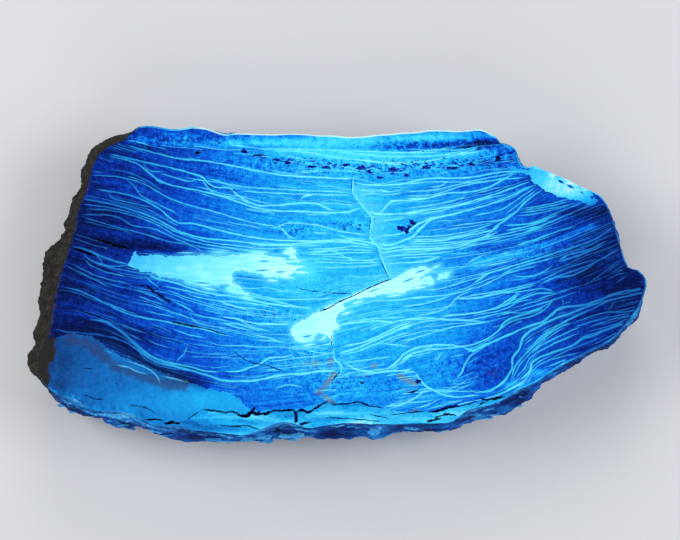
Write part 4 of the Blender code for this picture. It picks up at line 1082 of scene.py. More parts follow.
def runTree(mesh, tree, places, numbers, name):  # what a tree makes of a mesh, as a plain mesh of its own
    piece = bpy.data.objects.new(tree.name, mesh)
    bpy.context.collection.objects.link(piece)
    modifier = piece.modifiers.new(tree.name, "NODES")
    modifier.node_group = tree
    for label, value in numbers.items():
        modifier[places[label]] = value
    graph = bpy.context.evaluated_depsgraph_get()
    made = bpy.data.meshes.new_from_object(piece.evaluated_get(graph))
    made.name = name
    bpy.data.objects.remove(piece)
    return made


# The rough side: how its broken layers and splinters stand out
brokenSide = {
    "cuts": 2,  # new points along each of the solid's edges
    "stripRings": 3,  # rows of faces between the polish and the arris, which are drawn with the face instead
    "blur": 5,  # rounds of smoothing on the directions in which it stands out
    "sharpAngle": math.radians(34),  # edges that bend more than this are shaded sharp
    "lengths": {  # mm
        "Layer length": 11.0, "Layer thickness": 2.2, "Layer relief": 0.9,
        "Splinter length": 4.2, "Splinter thickness": 0.7, "Splinter relief": 0.42,
        "Grain size": 0.9, "Grain relief": 0.12,
        "Rest height": 2.5,  # the relief grows to its full depth over this height above the sawn back
    },
    "shares": {
        "Layer steps": 4.0,
        "Edge relief": 0.3,  # share of the relief that is left at the arris
    },
}


def openEdge(shape):  # the vertices of the one open edge in order, anticlockwise from above
    ahead = {}
    for edge in shape.edges:
        if edge.is_boundary:
            loop = edge.link_loops[0]
            ahead[loop.link_loop_next.vert] = loop.vert
    order = [next(iter(ahead))]
    while ahead[order[-1]] != order[0]:
        order.append(ahead[order[-1]])
    return order


def wholeSide():  # the rough side and sawn back from a copy of the solid, and the edge of the polish
    shape = bmesh.new()
    shape.from_mesh(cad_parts["petrified_wood"].data)
    rimShare = shape.verts.layers.float.new("rimShare")  # 1 at the arris
    bmesh.ops.remove_doubles(shape, verts=shape.verts, dist=drawing["same"])
    top = drawing["faceHeight"] - drawing["level"]
    flatFaces = [f for f in shape.faces if all(v.co.z > top for v in f.verts)]
    bmesh.ops.delete(shape, geom=flatFaces, context="FACES")
    lowest = min(shape.verts, key=lambda v: v.co.z)
    kept = {lowest}
    waiting = [lowest]
    while waiting:  # the walls of cracks and pits are no longer joined to the rest
        for edge in waiting.pop().link_edges:
            for vertex in edge.verts:
                if vertex not in kept:
                    kept.add(vertex)
                    waiting.append(vertex)
    bmesh.ops.delete(shape, geom=[v for v in shape.verts if v not in kept], context="VERTS")

    ring = openEdge(shape)
    polishEdge = inDrawing([vertex.co for vertex in ring])
    stripPoints = set(ring)
    for _ in range(brokenSide["stripRings"]):
        ring = {edge.other_vert(v) for v in ring for edge in v.link_edges} - stripPoints
        stripPoints |= ring
    for vertex in ring:
        vertex[rimShare] = 1.0
    bmesh.ops.delete(shape, geom=[f for f in shape.faces if stripPoints.issuperset(f.verts)], context="FACES")
    sideEdges = [e for e in shape.edges if max(v.co.z for v in e.verts) > drawing["level"]]
    bmesh.ops.subdivide_edges(shape, edges=sideEdges, cuts=brokenSide["cuts"], use_grid_fill=True)
    bmesh.ops.triangulate(shape, faces=[f for f in shape.faces if len(f.verts) > 3])
    mesh = bpy.data.meshes.new("wholeSide")
    shape.to_mesh(mesh)
    shape.free()
    return mesh, polishEdge


def stretchedNoise(tree, position, length, thickness, detail):  # -1 to 1, long along X and thin across it
    size = combined(tree, length, thickness, thickness)
    made = noiseAt(tree, vectorNode(tree, "DIVIDE", position, size), 1.0, detail)
    return mathNode(tree, "MULTIPLY", centred(tree, made), 2.0)


def brokenSideMesh(whole, material):  # layers, splinters and grain broken into the side by Geometry Nodes
    numbers = {label: length * drawing["mm"] for label, length in brokenSide["lengths"].items()}
    numbers.update(brokenSide["shares"])
    tree, start, end, places = newNodeTree("breakSides", numbers)
    given = start.outputs
    position = addNode(tree, "GeometryNodeInputPosition").outputs[0]
    blurred = addNode(tree, "GeometryNodeBlurAttribute", data_type="FLOAT_VECTOR")
    blurred.inputs["Iterations"].default_value = brokenSide["blur"]
    link(tree, addNode(tree, "GeometryNodeInputNormal").outputs[0], blurred.inputs["Value"])
    outward = vectorNode(tree, "NORMALIZE", blurred.outputs["Value"])

    layers = stretchedNoise(tree, position, given["Layer length"], given["Layer thickness"], 2.0)
    splinters = stretchedNoise(tree, position, given["Splinter length"], given["Splinter thickness"], 2.0)
    grain = stretchedNoise(tree, position, given["Grain size"], given["Grain size"], 1.0)
    steps = mathNode(tree, "FLOOR", mathNode(tree, "MULTIPLY", layers, given["Layer steps"]))
    treads = mathNode(tree, "DIVIDE", steps, given["Layer steps"])
    relief = weightedSum(tree, (treads, given["Layer relief"]), (splinters, given["Splinter relief"]),
                         (grain, given["Grain relief"]))

    height = addNode(tree, "ShaderNodeSeparateXYZ")
    link(tree, position, height.inputs[0])
    rising = between(tree, height.outputs["Z"], 0.0, given["Rest height"])
    atRim = addNode(tree, "GeometryNodeInputNamedAttribute", data_type="FLOAT")
    atRim.inputs["Name"].default_value = "rimShare"
    atRim = atRim.outputs["Attribute"]
    loss = mathNode(tree, "MULTIPLY", atRim, mathNode(tree, "SUBTRACT", 1.0, given["Edge relief"]))
    share = mathNode(tree, "MULTIPLY", rising, mathNode(tree, "SUBTRACT", 1.0, loss))
    offset = vectorNode(tree, "SCALE", outward, mathNode(tree, "MULTIPLY", relief, share))
    level = combined(tree, 1.0, 1.0, mathNode(tree, "SUBTRACT", 1.0, atRim))  # the arris moves only sideways
    moved = addNode(tree, "GeometryNodeSetPosition")
    link(tree, given["Geometry"], moved.inputs["Geometry"])
    link(tree, vectorNode(tree, "MULTIPLY", offset, level), moved.inputs["Offset"])
    finishTree(tree, moved.outputs[0], end, material)
    return runTree(whole, tree, places, numbers, "brokenSide")


def newMaterial(name, roughness):
    material = bpy.data.materials.new(name)
    material.use_nodes = True
    shader = material.node_tree.nodes["Principled BSDF"]
    shader.inputs["Roughness"].default_value = roughness
    shader.inputs["Specular IOR Level"].default_value = 0.12
    return material, material.node_tree, shader


def savedValue(tree, name):  # a number that is stored on the mesh
    return addNode(tree, "ShaderNodeAttribute", attribute_name=name).outputs["Fac"]


def tint(red, green, blue):  # a picture colour of 0 to 255 as the shader's own
    shares = [channel / 255 for channel in (red, green, blue)]
    return tuple(s / 12.92 if s <= 0.04045 else ((s + 0.055) / 1.055) ** 2.4 for s in shares) + (1.0,)


def colourRamp(tree, value, stops):  # stops give a picture colour for each brightness
    made = addNode(tree, "ShaderNodeValToRGB")
    elements = made.color_ramp.elements
    while len(elements) < len(stops):
        elements.new(0.5)
    for element, (at, colour) in zip(elements, stops.items()):
        element.position = at
        element.color = tint(*colour)
    link(tree, value, made.inputs[0])
    return made.outputs["Color"]


def blendColours(tree, share, first, second):  # each colour is a socket or a picture colour
    made = addNode(tree, "ShaderNodeMix", data_type="RGBA")
    link(tree, share, made.inputs[0])
    for socket, colour in ((made.inputs[6], first), (made.inputs[7], second)):
        link(tree, tint(*colour) if isinstance(colour, tuple) else colour, socket)
    return made.outputs[2]


def grainVector(tree, along, across):  # a place along and across the grain, in units of these lengths
    return combined(tree, mathNode(tree, "DIVIDE", savedValue(tree, "alongGrain"), along),
                    mathNode(tree, "DIVIDE", savedValue(tree, "acrossGrain"), across))


def objectVector(tree):
    return addNode(tree, "ShaderNodeTexCoord").outputs["Object"]


def dress(tree, shader, colour, height, strength, distance):  # its colour, and bumps a distance high in metres
    link(tree, colour, shader.inputs["Base Color"])
    bump = addNode(tree, "ShaderNodeBump")
    for name, value in {"Strength": strength, "Distance": distance, "Height": height}.items():
        link(tree, value, bump.inputs[name])
    link(tree, bump.outputs[0], shader.inputs["Normal"])


def raggedStain(tree, scale):  # the share of stain at each place, broken up by noise
    stain = savedValue(tree, "stain")
    rough = centred(tree, noiseAt(tree, objectVector(tree), scale, 4.0, 0.7))
    broken = between(tree, weightedSum(tree, (stain, 1.0), (rough, 1.8)), 0.25, 0.95)
    share = mathNode(tree, "MULTIPLY", broken, between(tree, stain, 0.05, 0.4))
    return mathNode(tree, "MULTIPLY", share, 0.66)


# Every blue and cyan colour below is painted light: the fluorescent glow the stone gives under an ultraviolet lamp,
# set as plain base colour
# The looks of each finish. Streaks have a length and a width in mm with the grain, and the other noises
# have so many swellings to a metre. Colours are given for each brightness, from dark to light.
polishLook = {
    "ground": {
        0.0: (0, 16, 70), 0.12: (1, 30, 114), 0.25: (2, 50, 160), 0.4: (4, 80, 200), 0.55: (9, 122, 224),
        0.7: (20, 158, 234), 0.85: (38, 186, 239), 1.0: (66, 212, 244),
    },
    "lines": {0.0: (18, 78, 156), 0.2: (32, 136, 206), 0.4: (60, 204, 236), 0.75: (118, 240, 244)},
    "stain": (108, 114, 116),
    "pale": (98, 222, 246),
    "streaks": (22.0, 1.15), "fineStreaks": (7.0, 0.32),
    "clouds": 60.0, "grains": 1500.0, "coarseGrains": 620.0, "stainEdges": 520.0,
    "plainGrain": 0.36,  # how granular the stone is outside its granular areas
    "roughness": 0.3, "roughnessRange": (0.24, 0.42),
}


def polishedStone():  # blue ground with a fine streaky grain, granular places, stains and the growth lines
    look = polishLook
    material, tree, shader = newMaterial("polishedStone", look["roughness"])
    place = objectVector(tree)
    savedToneAndLampLight = savedValue(tree, "tone")
    streaks = noiseAt(tree, grainVector(tree, *look["streaks"]), 1.0, 4.0, 0.6)
    fineStreaks = noiseAt(tree, grainVector(tree, *look["fineStreaks"]), 1.0, 3.0, 0.6)
    clouds = noiseAt(tree, place, look["clouds"], 3.0)
    grains = noiseAt(tree, place, look["grains"], 2.0, 0.6)
    coarseGrains = noiseAt(tree, place, look["coarseGrains"], 2.0, 0.6)
    speckled = weightedSum(tree, (centred(tree, grains), 1.0), (centred(tree, coarseGrains), 1.1))
    granular = mathNode(tree, "ADD", savedValue(tree, "granular"), look["plainGrain"])
    tone = weightedSum(
        tree, (savedToneAndLampLight, 1.0), (centred(tree, streaks), 0.5), (centred(tree, fineStreaks), 0.3),
        (centred(tree, clouds), 0.16), (granular, speckled), (savedValue(tree, "lineShade"), -0.2))
    ground = colourRamp(tree, tone, look["ground"])
    ground = blendColours(tree, raggedStain(tree, look["stainEdges"]), ground, look["stain"])
    paleness = mathNode(tree, "MULTIPLY", savedValue(tree, "paleness"), between(tree, savedToneAndLampLight, 0.2, 0.6))
    ground = blendColours(tree, paleness, ground, look["pale"])
    lines = between(tree, savedValue(tree, "lineGlow"), 0.02, 0.68)
    colour = blendColours(tree, lines, ground, colourRamp(tree, savedToneAndLampLight, look["lines"]))
    dress(tree, shader, colour, fineStreaks, 0.12, 0.0001)
    link(tree, between(tree, speckled, -0.3, 0.5, *look["roughnessRange"]), shader.inputs["Roughness"])
    return material


patchLook = {
    "ground": {0.42: (60, 182, 236), 0.58: (90, 212, 243), 0.74: (130, 234, 250), 0.88: (176, 248, 253)},
    "streaks": (9.0, 0.9),
    "clouds": 240.0,
    "roughness": 0.42,
}


def palePatchStone():  # nearly white cyan, faintly clouded and streaked
    look = patchLook
    material, tree, shader = newMaterial("palePatchStone", look["roughness"])
    streaks = noiseAt(tree, grainVector(tree, *look["streaks"]), 1.0, 3.0, 0.6)
    clouds = noiseAt(tree, objectVector(tree), look["clouds"], 4.0, 0.6)
    light = weightedSum(tree, (streaks, 0.3), (clouds, 0.3), (savedValue(tree, "tone"), 0.7))
    dress(tree, shader, colourRamp(tree, light, look["ground"]), clouds, 0.15, 0.0002)
    return material


rindLook = {
    "chalk": {
        0.12: (1, 16, 62), 0.3: (2, 60, 124), 0.42: (4, 96, 174), 0.54: (8, 130, 208), 0.68: (18, 164, 232),
        0.82: (60, 198, 244), 0.92: (104, 218, 246), 1.0: (190, 238, 238),
    },
    "stain": (36, 54, 100),
    "lines": (84, 190, 236),
    "lineShare": 0.75,  # how much of the growth lines still shows
    "bark": (34, 32, 31),
    "light": 0.13,  # brightness everywhere
    "clouds": 150.0, "grains": 900.0, "stainEdges": 330.0,
    "roughness": 0.72,
}


def chalkyRindStone():  # matt weathered rind, darkly stained in places and grey-brown at the left end, with painted light and shade on its flakes and a painted highlight along the upper rim
    look = rindLook
    material, tree, shader = newMaterial("chalkyRindStone", look["roughness"])
    place = objectVector(tree)
    clouds = noiseAt(tree, place, look["clouds"], 4.0, 0.6)
    grains = noiseAt(tree, place, look["grains"], 3.0, 0.6)
    light = weightedSum(
        tree, (look["light"], 1.0), (clouds, 0.2), (grains, 0.2), (savedValue(tree, "tone"), 0.56),
        (savedValue(tree, "chalkLight"), 1.0), (savedValue(tree, "flakeTread"), 0.34),
        (savedValue(tree, "flakeFoot"), -0.2))
    colour = colourRamp(tree, light, look["chalk"])
    colour = blendColours(tree, raggedStain(tree, look["stainEdges"]), colour, look["stain"])
    glow = between(tree, savedValue(tree, "lineGlow"), 0.02, 0.8)
    colour = blendColours(tree, mathNode(tree, "MULTIPLY", glow, look["lineShare"]), colour, look["lines"])
    ragged = weightedSum(tree, (savedValue(tree, "rind"), 1.0), (centred(tree, clouds), 1.6))
    colour = blendColours(tree, between(tree, ragged, 0.5, 0.66), colour, look["bark"])
    dress(tree, shader, colour, grains, 0.5, 0.0004)
    return material


hollowLook = {
    "walls": {0.3: (14, 20, 136), 0.5: (24, 40, 174), 0.7: (48, 108, 212)},
    "inDarkAndUnlitStone": (2, 8, 40),
    "grains": 900.0,
    "roughness": 0.6,
}


def hollowStone():  # the walls of cracks and pits
    look = hollowLook
    material, tree, shader = newMaterial("hollowStone", look["roughness"])
    grains = noiseAt(tree, objectVector(tree), look["grains"], 3.0, 0.6)
    # Hollow walls are painted darker where the tone, with its painted lamp light, is low
    lit = between(tree, savedValue(tree, "tone"), 0.3, 0.8)
    walls = colourRamp(tree, grains, look["walls"])
    dress(tree, shader, blendColours(tree, lit, look["inDarkAndUnlitStone"], walls), grains, 0.4, 0.0003)
    return material


sideLook = {
    # The dark end of the layers paints the shade that falls on the side below the face's edge
    "layers": {
        0.3: (2, 12, 44), 0.44: (4, 34, 96), 0.54: (10, 76, 164), 0.64: (34, 138, 218), 0.78: (104, 208, 246),
    },
    "chalk": {0.32: (20, 88, 180), 0.5: (52, 152, 226), 0.7: (120, 214, 246)},
    "bark": {0.3: (18, 17, 16), 0.5: (40, 37, 33), 0.72: (72, 66, 57)},
    "fibres": (60.0, 420.0, 420.0), "clouds": 120.0, "grains": 1100.0,
    "roughness": 0.8,
}


def brokenStone():  # fibrous broken layers in dark colours that paint the shade under the face's edge, paler and chalky where they face up near the face as painted light from above, with a rind at the left end
    look = sideLook
    material, tree, shader = newMaterial("brokenStone", look["roughness"])
    place = objectVector(tree)
    fibres = noiseAt(tree, vectorNode(tree, "MULTIPLY", place, look["fibres"]), 1.0, 5.0, 0.65)
    clouds = noiseAt(tree, place, look["clouds"], 4.0, 0.6)
    grains = noiseAt(tree, place, look["grains"], 3.0, 0.6)
    colour = colourRamp(tree, weightedSum(tree, (fibres, 0.55), (clouds, 0.45)), look["layers"])
    chalk = colourRamp(tree, weightedSum(tree, (grains, 0.5), (fibres, 0.5)), look["chalk"])
    colour = blendColours(tree, savedValue(tree, "worn"), colour, chalk)
    bark = colourRamp(tree, weightedSum(tree, (grains, 0.4), (fibres, 0.6)), look["bark"])
    colour = blendColours(tree, savedValue(tree, "rind"), colour, bark)
    dress(tree, shader, colour, weightedSum(tree, (fibres, 1.0), (grains, 0.35)), 0.6, 0.0008)
    return material


backLook = {
    "ground": {0.34: (12, 48, 122), 0.5: (24, 88, 176), 0.6: (48, 132, 208), 0.72: (110, 196, 232)},
    "lines": (14.0, 420.0, 1.0), "sawMarks": (900.0, 22.0, 1.0),
    "roughness": 0.62,
}


def sawnStone():  # the flat back as the saw left it
    look = backLook
    material, tree, shader = newMaterial("sawnStone", look["roughness"])
    place = objectVector(tree)
    lines = noiseAt(tree, vectorNode(tree, "MULTIPLY", place, look["lines"]), 1.0, 4.0, 0.6)
    sawMarks = noiseAt(tree, vectorNode(tree, "MULTIPLY", place, look["sawMarks"]), 1.0, 2.0)
    light = weightedSum(tree, (lines, 0.8), (sawMarks, 0.2))
    dress(tree, shader, colourRamp(tree, light, look["ground"]), sawMarks, 0.3, 0.0002)
    return material


flat = {"places": [], "joins": []}  # what is drawn on the face before it becomes faces


def drawOnFace(points, closed=False):
    start = len(flat["places"])
    flat["places"].extend((float(x), float(y)) for x, y in points)
    flat["joins"].extend((start + index, start + index + 1) for index in range(len(points) - 1))
    if closed:
        flat["joins"].append((start + len(points) - 1, start))


def drawRibbon(line):  # a line's middle and both its sides
    side = acrossPath(line["path"]) * line["halves"][:, None]
    drawOnFace(line["path"] + side)
    drawOnFace(line["path"])
    drawOnFace(line["path"] - side)


# How a hollow is drawn: rings as shares of its rim, with fewer places round the small ones
hollowRings = {"shares": (1.0, 0.8, 0.45), "places": 18, "fewPlaces": 9, "small": 0.45}


def drawHollow(hollow):
    x, y, halfLength, halfWidth, _ = hollow["size"]
    count = hollowRings["places"] if halfLength > hollowRings["small"] else hollowRings["fewPlaces"]
    angles = np.linspace(0, 2 * math.pi, count, endpoint=False)
    rim = rimReach(angles, hollow["turns"])
    ring = np.column_stack([np.cos(angles) * halfLength * rim, np.sin(angles) * halfWidth * rim])
    for share in hollowRings["shares"]:
        drawOnFace(ring * share + (x, y), closed=True)


# The strip between the polish and the arris: worn flakes, long with the grain. Lengths are in mm.
strip = {
    "flakeLength": 11.0, "flakeWidth": 1.5, "flakeRelief": 0.75, "flakeSteps": 5,
    "slice": 3.7,  # which slice of the noise the flakes are
    "contrast": 0.6,
    "ragged": (0.1, 2.6),  # how much the flakes' edges stray, and how much finer than the flakes that is
    "foot": 0.16,  # share of a tread that counts as the foot of the next step, painted darker as shade
    "unshadedTread": 0.2,  # the tread that gets no painted light or shade; higher treads are painted lighter and lower ones darker
    "edgeFade": 0.5,  # distance from the strip's edges over which the flakes level out
    "narrow": 0.8,  # the width at which flakes start
    "narrowFade": 1.5,  # and the width beyond that over which they reach their full depth
    "evenStep": 0.35,  # between the places by which distances to its edges are measured
    "polishStep": 1.0,  # between the drawn places of the polish's edge
    "outlineGap": 0.1,  # added to the gap that outlines of patches and rinds keep from the arris
    # places strewn in rows over the face: where they lie, how far apart, and what they keep from its edge
    "gridX": (-94, 97), "gridY": (-50, 52), "rowShare": 0.87,
    "fineSpacing": 0.47, "fineClearance": 0.2,
    "coarseSpacing": 1.7, "coarseClearance": 0.8,
}


def gridPlaces(spacing, clearance, edge):  # evenly strewn places that keep triangles small
    xs = np.arange(*strip["gridX"], spacing)
    rows = [np.column_stack([xs + (index % 2) * spacing / 2, np.full(len(xs), y)])
            for index, y in enumerate(np.arange(*strip["gridY"], spacing * strip["rowShare"]))]
    places = np.vstack(rows)
    places = places[insideOutline(places, edge)]
    return places[distanceTo(treeOf(edge), places) > clearance]


def flakeSteps(places):  # treads with ragged steps between them: how high each is, and how near a step's foot
    ragged, finer = strip["ragged"]
    values = []
    for x, y in places:
        at = Vector((x / strip["flakeLength"], y / strip["flakeWidth"], strip["slice"]))
        values.append(noise.noise(at) + ragged * noise.noise(at * finer))
    raised = np.clip(np.array(values) * strip["contrast"] + 0.5, 0, 0.999) * strip["flakeSteps"]
    treads = np.floor(raised)
    return treads / (strip["flakeSteps"] - 1), np.clip(1 - (raised - treads) / strip["foot"], 0, 1)


def faceHeights(places, polishEdge, arris, arrisHeights):  # mm above the polish, hollows left out
    heights = np.zeros(len(places))
    beyond = np.nonzero(~insideOutline(places, polishEdge))[0]
    toPolish = distanceTo(treeOf(evenLoop(polishEdge, strip["evenStep"])), places[beyond])
    toArris = distanceTo(treeOf(evenLoop(arris, strip["evenStep"])), places[beyond])
    share = toPolish / np.maximum(toPolish + toArris, 1e-6)
    arrisTree = treeOf(arris)
    drop = np.array([arrisHeights[arrisTree.find((x, y, 0))[1]] for x, y in places[beyond]])
    depth = strip["flakeRelief"] * (1 - flakeSteps(places[beyond])[0])
    inward = np.clip(np.minimum(toPolish, toArris) / strip["edgeFade"], 0, 1)
    wide = np.clip((toPolish + toArris - strip["narrow"]) / strip["narrowFade"], 0, 1)
    heights[beyond] = drop * share - depth * inward * wide
    return heights


def sideEdge(side):  # the side's points, and the numbers of those along the arris in order
    shape = bmesh.new()
    shape.from_mesh(side)
    edge = [vertex.index for vertex in openEdge(shape)]
    shape.free()
    points = np.empty(len(side.vertices) * 3)
    side.vertices.foreach_get("co", points)
    return points.reshape(-1, 3), edge


def faceParts(arris, polishEdge):  # everything that lies on the face, cut off at its edges
    arrisTree = treeOf(arris)
    polishTree = treeOf(polishEdge)
    patches, rinds = paleOutlines()
    traced = tracedLines()
    lines = [part for line in traced for part in insideParts(line, polishEdge, polishTree)]
    fine = addFineLines(traced)
    for line, allowed in zip(fine, outsideAll(fine, patches + rinds + fineLines["leftOut"])):
        lines.extend(insideParts(line, polishEdge, polishTree, allowed))
    return {
        "lines": lines,
        "shades": [part for line in shadeLines() for part in insideParts(line, polishEdge, polishTree)],
        "cracks": [part for line in crackLines() for part in insideParts(line, arris, arrisTree)],
        "hollows": allHollows(),
        "patches": patches,
        "rinds": rinds,
        "gaps": [splinterOutline(*splinter) for splinter in blueSplinters],
    }


def drawFace(parts, arris, polishEdge):
    arrisTree = treeOf(arris)
    drawOnFace(arris, closed=True)
    drawOnFace(polishEdge, closed=True)
    for line in parts["lines"] + parts["shades"] + parts["cracks"]:
        drawRibbon(line)
    for hollow in parts["hollows"]:
        drawHollow(hollow)
    for outline in parts["patches"] + parts["rinds"] + parts["gaps"]:
        closed = np.vstack([outline, outline[:1]])
        border = {"path": closed, "halves": np.full(len(closed), strip["outlineGap"])}
        for part in insideParts(border, arris, arrisTree):
            drawOnFace(part["path"])
    fine = gridPlaces(strip["fineSpacing"], strip["fineClearance"], arris)
    fine = fine[~insideOutline(fine, polishEdge)]
    coarse = gridPlaces(strip["coarseSpacing"], strip["coarseClearance"], polishEdge)
    flat["places"].extend(map(tuple, np.vstack([fine, coarse])))


def faceTriangles(arris):  # places, triangles between them, and the numbers each place was drawn under
    drawn, _, triangles, origins, _, _ = delaunay_2d_cdt(
        [Vector(place) for place in flat["places"]], flat["joins"], [], 0, 1e-5, True)
    drawn = np.array(drawn, float)
    triangles = np.array([list(triangle) for triangle in triangles])
    return drawn, triangles[insideOutline(drawn[triangles].mean(axis=1), arris)], origins


# The slab's materials, in order
finishes = {"polish": 0, "patch": 1, "rind": 2, "hollow": 3, "broken": 4, "sawn": 5}


def faceFinishes(middles, parts, polishEdge):  # the finish of each triangle of the face
    made = np.full(len(middles), finishes["polish"])
    for kind, finish in (("patches", "patch"), ("rinds", "rind"), ("gaps", "polish")):
        for outline in parts[kind]:
            made[insideOutline(middles, outline)] = finishes[finish]
    made[~insideOutline(middles, polishEdge)] = finishes["rind"]
    cracked = lineGlow(middles, parts["cracks"]) > jagged["leastDepth"]
    made[cracked | (pitDepths(middles, parts["hollows"]) > 0)] = finishes["hollow"]
    return made


def slabMesh(side, polishEdge):  # the face drawn, made into triangles and joined to the side at the arris
    sidePoints, edge = sideEdge(side)
    arris = inDrawing(sidePoints[edge])
    arrisHeights = (sidePoints[edge, 2] - drawing["faceHeight"]) / drawing["mm"]
    polishEdge = evenLoop(polishEdge, strip["polishStep"])
    parts = faceParts(arris, polishEdge)
    print("growth lines:", len(parts["lines"]), "hollows:", len(parts["hollows"]))
    drawFace(parts, arris, polishEdge)
    drawn, triangles, origins = faceTriangles(arris)
    finish = faceFinishes(drawn[triangles].mean(axis=1), parts, polishEdge)

    numbers = np.full(len(drawn), -1)  # where each drawn place ends up among the slab's vertices
    for index, sources in enumerate(origins):
        for source in sources:
            if source < len(edge):
                numbers[index] = edge[source]
    used = np.zeros(len(drawn), bool)
    used[triangles.ravel()] = True
    fresh = used & (numbers < 0)
    numbers[fresh] = len(sidePoints) + np.arange(fresh.sum())
    depths = np.maximum(pitDepths(drawn, parts["hollows"]), lineGlow(drawn, parts["cracks"]))
    heights = faceHeights(drawn, polishEdge, arris, arrisHeights) - depths
    points = np.vstack([sidePoints, inMetres(drawn[fresh], heights[fresh])])
    triangles = numbers[triangles]
    corners = points[triangles]
    turned = np.cross(corners[:, 1] - corners[:, 0], corners[:, 2] - corners[:, 0])[:, 2] < 0
    triangles[turned] = triangles[turned][:, ::-1]

    sideFaces = np.array([list(face.vertices) for face in side.polygons])
    onBack = points[sideFaces][:, :, 2].max(axis=1) < drawing["same"]
    mesh = bpy.data.meshes.new("petrifiedWood")
    mesh.from_pydata(points.tolist(), [], np.vstack([sideFaces, triangles]).tolist())
    sideFinish = np.where(onBack, finishes["sawn"], finishes["broken"])
    mesh.polygons.foreach_set("material_index", np.concatenate([sideFinish, finish]).astype(np.int32))
    mesh.update()

    onFace = np.arange(len(points)) >= len(sidePoints)
    onFace[edge] = True
    saveFaceValues(mesh, inDrawing(points), onFace, parts, polishEdge)
    saveSideValues(mesh, points, onFace)
    return mesh


def saveFaceValues(mesh, places, onFace, parts, polishEdge):
    for name, lines in (("lineGlow", parts["lines"]), ("lineShade", parts["shades"])):
        values = np.zeros(len(places))
        values[onFace] = lineGlow(places[onFace], lines)
        saveValues(mesh, name, values)
    saveValues(mesh, "paleness", palenessAt(places, parts["patches"]) * onFace)
    saveTones(mesh, places)
    onStrip = onFace & ~insideOutline(places, polishEdge)
    treads, feet = flakeSteps(places)
    # Painted light and shade on the strip's flakes: raised treads lighter, sunk ones darker, and a painted shadow at
    # each step's foot
    saveValues(mesh, "flakeTread", np.where(onStrip, treads - strip["unshadedTread"], 0))
    saveValues(mesh, "flakeFoot", np.where(onStrip, feet, 0))


# Painted light from above: the parts of the side that look upwards close to the face are paler and chalky, and the
# rind at the left end
weatheringAndTopLight = {
    "onFace": 0.9,  # paleness of the face's own edge
    "leastUp": 0.3,  # the upward share of a direction at which the painted light starts
    "upFade": 0.5,
    "depth": 7.0,  # mm below the face at which the painted light ends
    "depthFade": 4.0,
    "rindEdge": [(-40, -81), (-30, -84), (0, -77), (30, -69), (44, -61), (50, -57)],  # y and x in the drawing
    "rindFade": 5.0,
}


def saveSideValues(mesh, points, onFace):
    normals = np.empty(len(points) * 3)
    mesh.vertices.foreach_get("normal", normals)
    up = np.clip((normals[2::3] - weatheringAndTopLight["leastUp"]) / weatheringAndTopLight["upFade"], 0, 1)
    below = (drawing["faceHeight"] - points[:, 2]) / drawing["mm"]
    high = np.clip((weatheringAndTopLight["depth"] - below) / weatheringAndTopLight["depthFade"], 0, 1)
    saveValues(mesh, "worn", np.where(onFace, weatheringAndTopLight["onFace"], up * high))
    places = inDrawing(points)
    rindX = np.interp(places[:, 1], *zip(*weatheringAndTopLight["rindEdge"]))
    saveValues(mesh, "rind", np.clip((rindX - places[:, 0]) / weatheringAndTopLight["rindFade"], 0, 1))


# Chips that stand off the lower side
edgeChips = {
    "length": 5.2, "width": 1.5, "thickness": 0.9,  # mm
    "perSquareMetre": 36000.0,
    "smallest": 0.3, "largest": 1.0,
    "slant": 0.3,  # the most that a chip is turned, in radians
    "rough": (0.75, 1.1),  # how far a shard's points lie out, as a share of its size
    "seed": 12,
    "below": -30.0,  # they lie below this line of the drawing, and between these shares of the thickness
    "heights": (0.3, 0.93),
    # larger chips, traced one by one: where each is seen past the edge of the face, and its length and thickness
    "traced": [(-14.5, -46.9, 8.2, 1.6), (-22.8, -47.3, 5.2, 1.5), (10.3, -45.9, 2.8, 1.2)],
}


def shardMesh():  # one rough shard, long along X
    dice = np.random.default_rng(edgeChips["seed"])
    shape = bmesh.new()
    bmesh.ops.create_icosphere(shape, subdivisions=2, radius=0.5)
    size = Vector((edgeChips["length"], edgeChips["width"], edgeChips["thickness"])) * drawing["mm"]
    for vertex in shape.verts:
        vertex.co = vertex.co * dice.uniform(*edgeChips["rough"]) * size
    mesh = bpy.data.meshes.new("shard")
    shape.to_mesh(mesh)
    shape.free()
    return mesh


def chipGround(side):  # the part of the side that the chips stand on
    shape = bmesh.new()
    shape.from_mesh(side)
    low, high = (share * drawing["faceHeight"] for share in edgeChips["heights"])
    for face in list(shape.faces):
        middle = face.calc_center_median()
        below = middle.y / drawing["mm"] + drawing["middle"][1] < edgeChips["below"]
        if not (below and low < middle.z < high):
            shape.faces.remove(face)
    mesh = bpy.data.meshes.new("chipGround")
    shape.to_mesh(mesh)
    shape.free()
    return mesh


def addTracedChips(mesh, shard, side):  # each is set where the line of sight to it meets the side
    corners = [vertex.co for vertex in side.vertices]
    ground = BVHTree.FromPolygons(corners, [face.vertices for face in side.polygons])
    sight = Vector((0, math.sin(studio["tilt"]), -math.cos(studio["tilt"])))
    shape = bmesh.new()
    shape.from_mesh(mesh)
    for x, y, length, thickness in edgeChips["traced"]:
        place = ground.ray_cast(Vector(inMetres([(x, y)], [0.0])[0]), sight)[0]
        across = thickness / edgeChips["thickness"]
        size = Vector((length / edgeChips["length"], across, across))
        first = len(shape.verts)
        shape.from_mesh(shard)
        shape.verts.ensure_lookup_table()
        for vertex in shape.verts[first:]:
            vertex.co = vertex.co * size + place
    shape.to_mesh(mesh)
    shape.free()


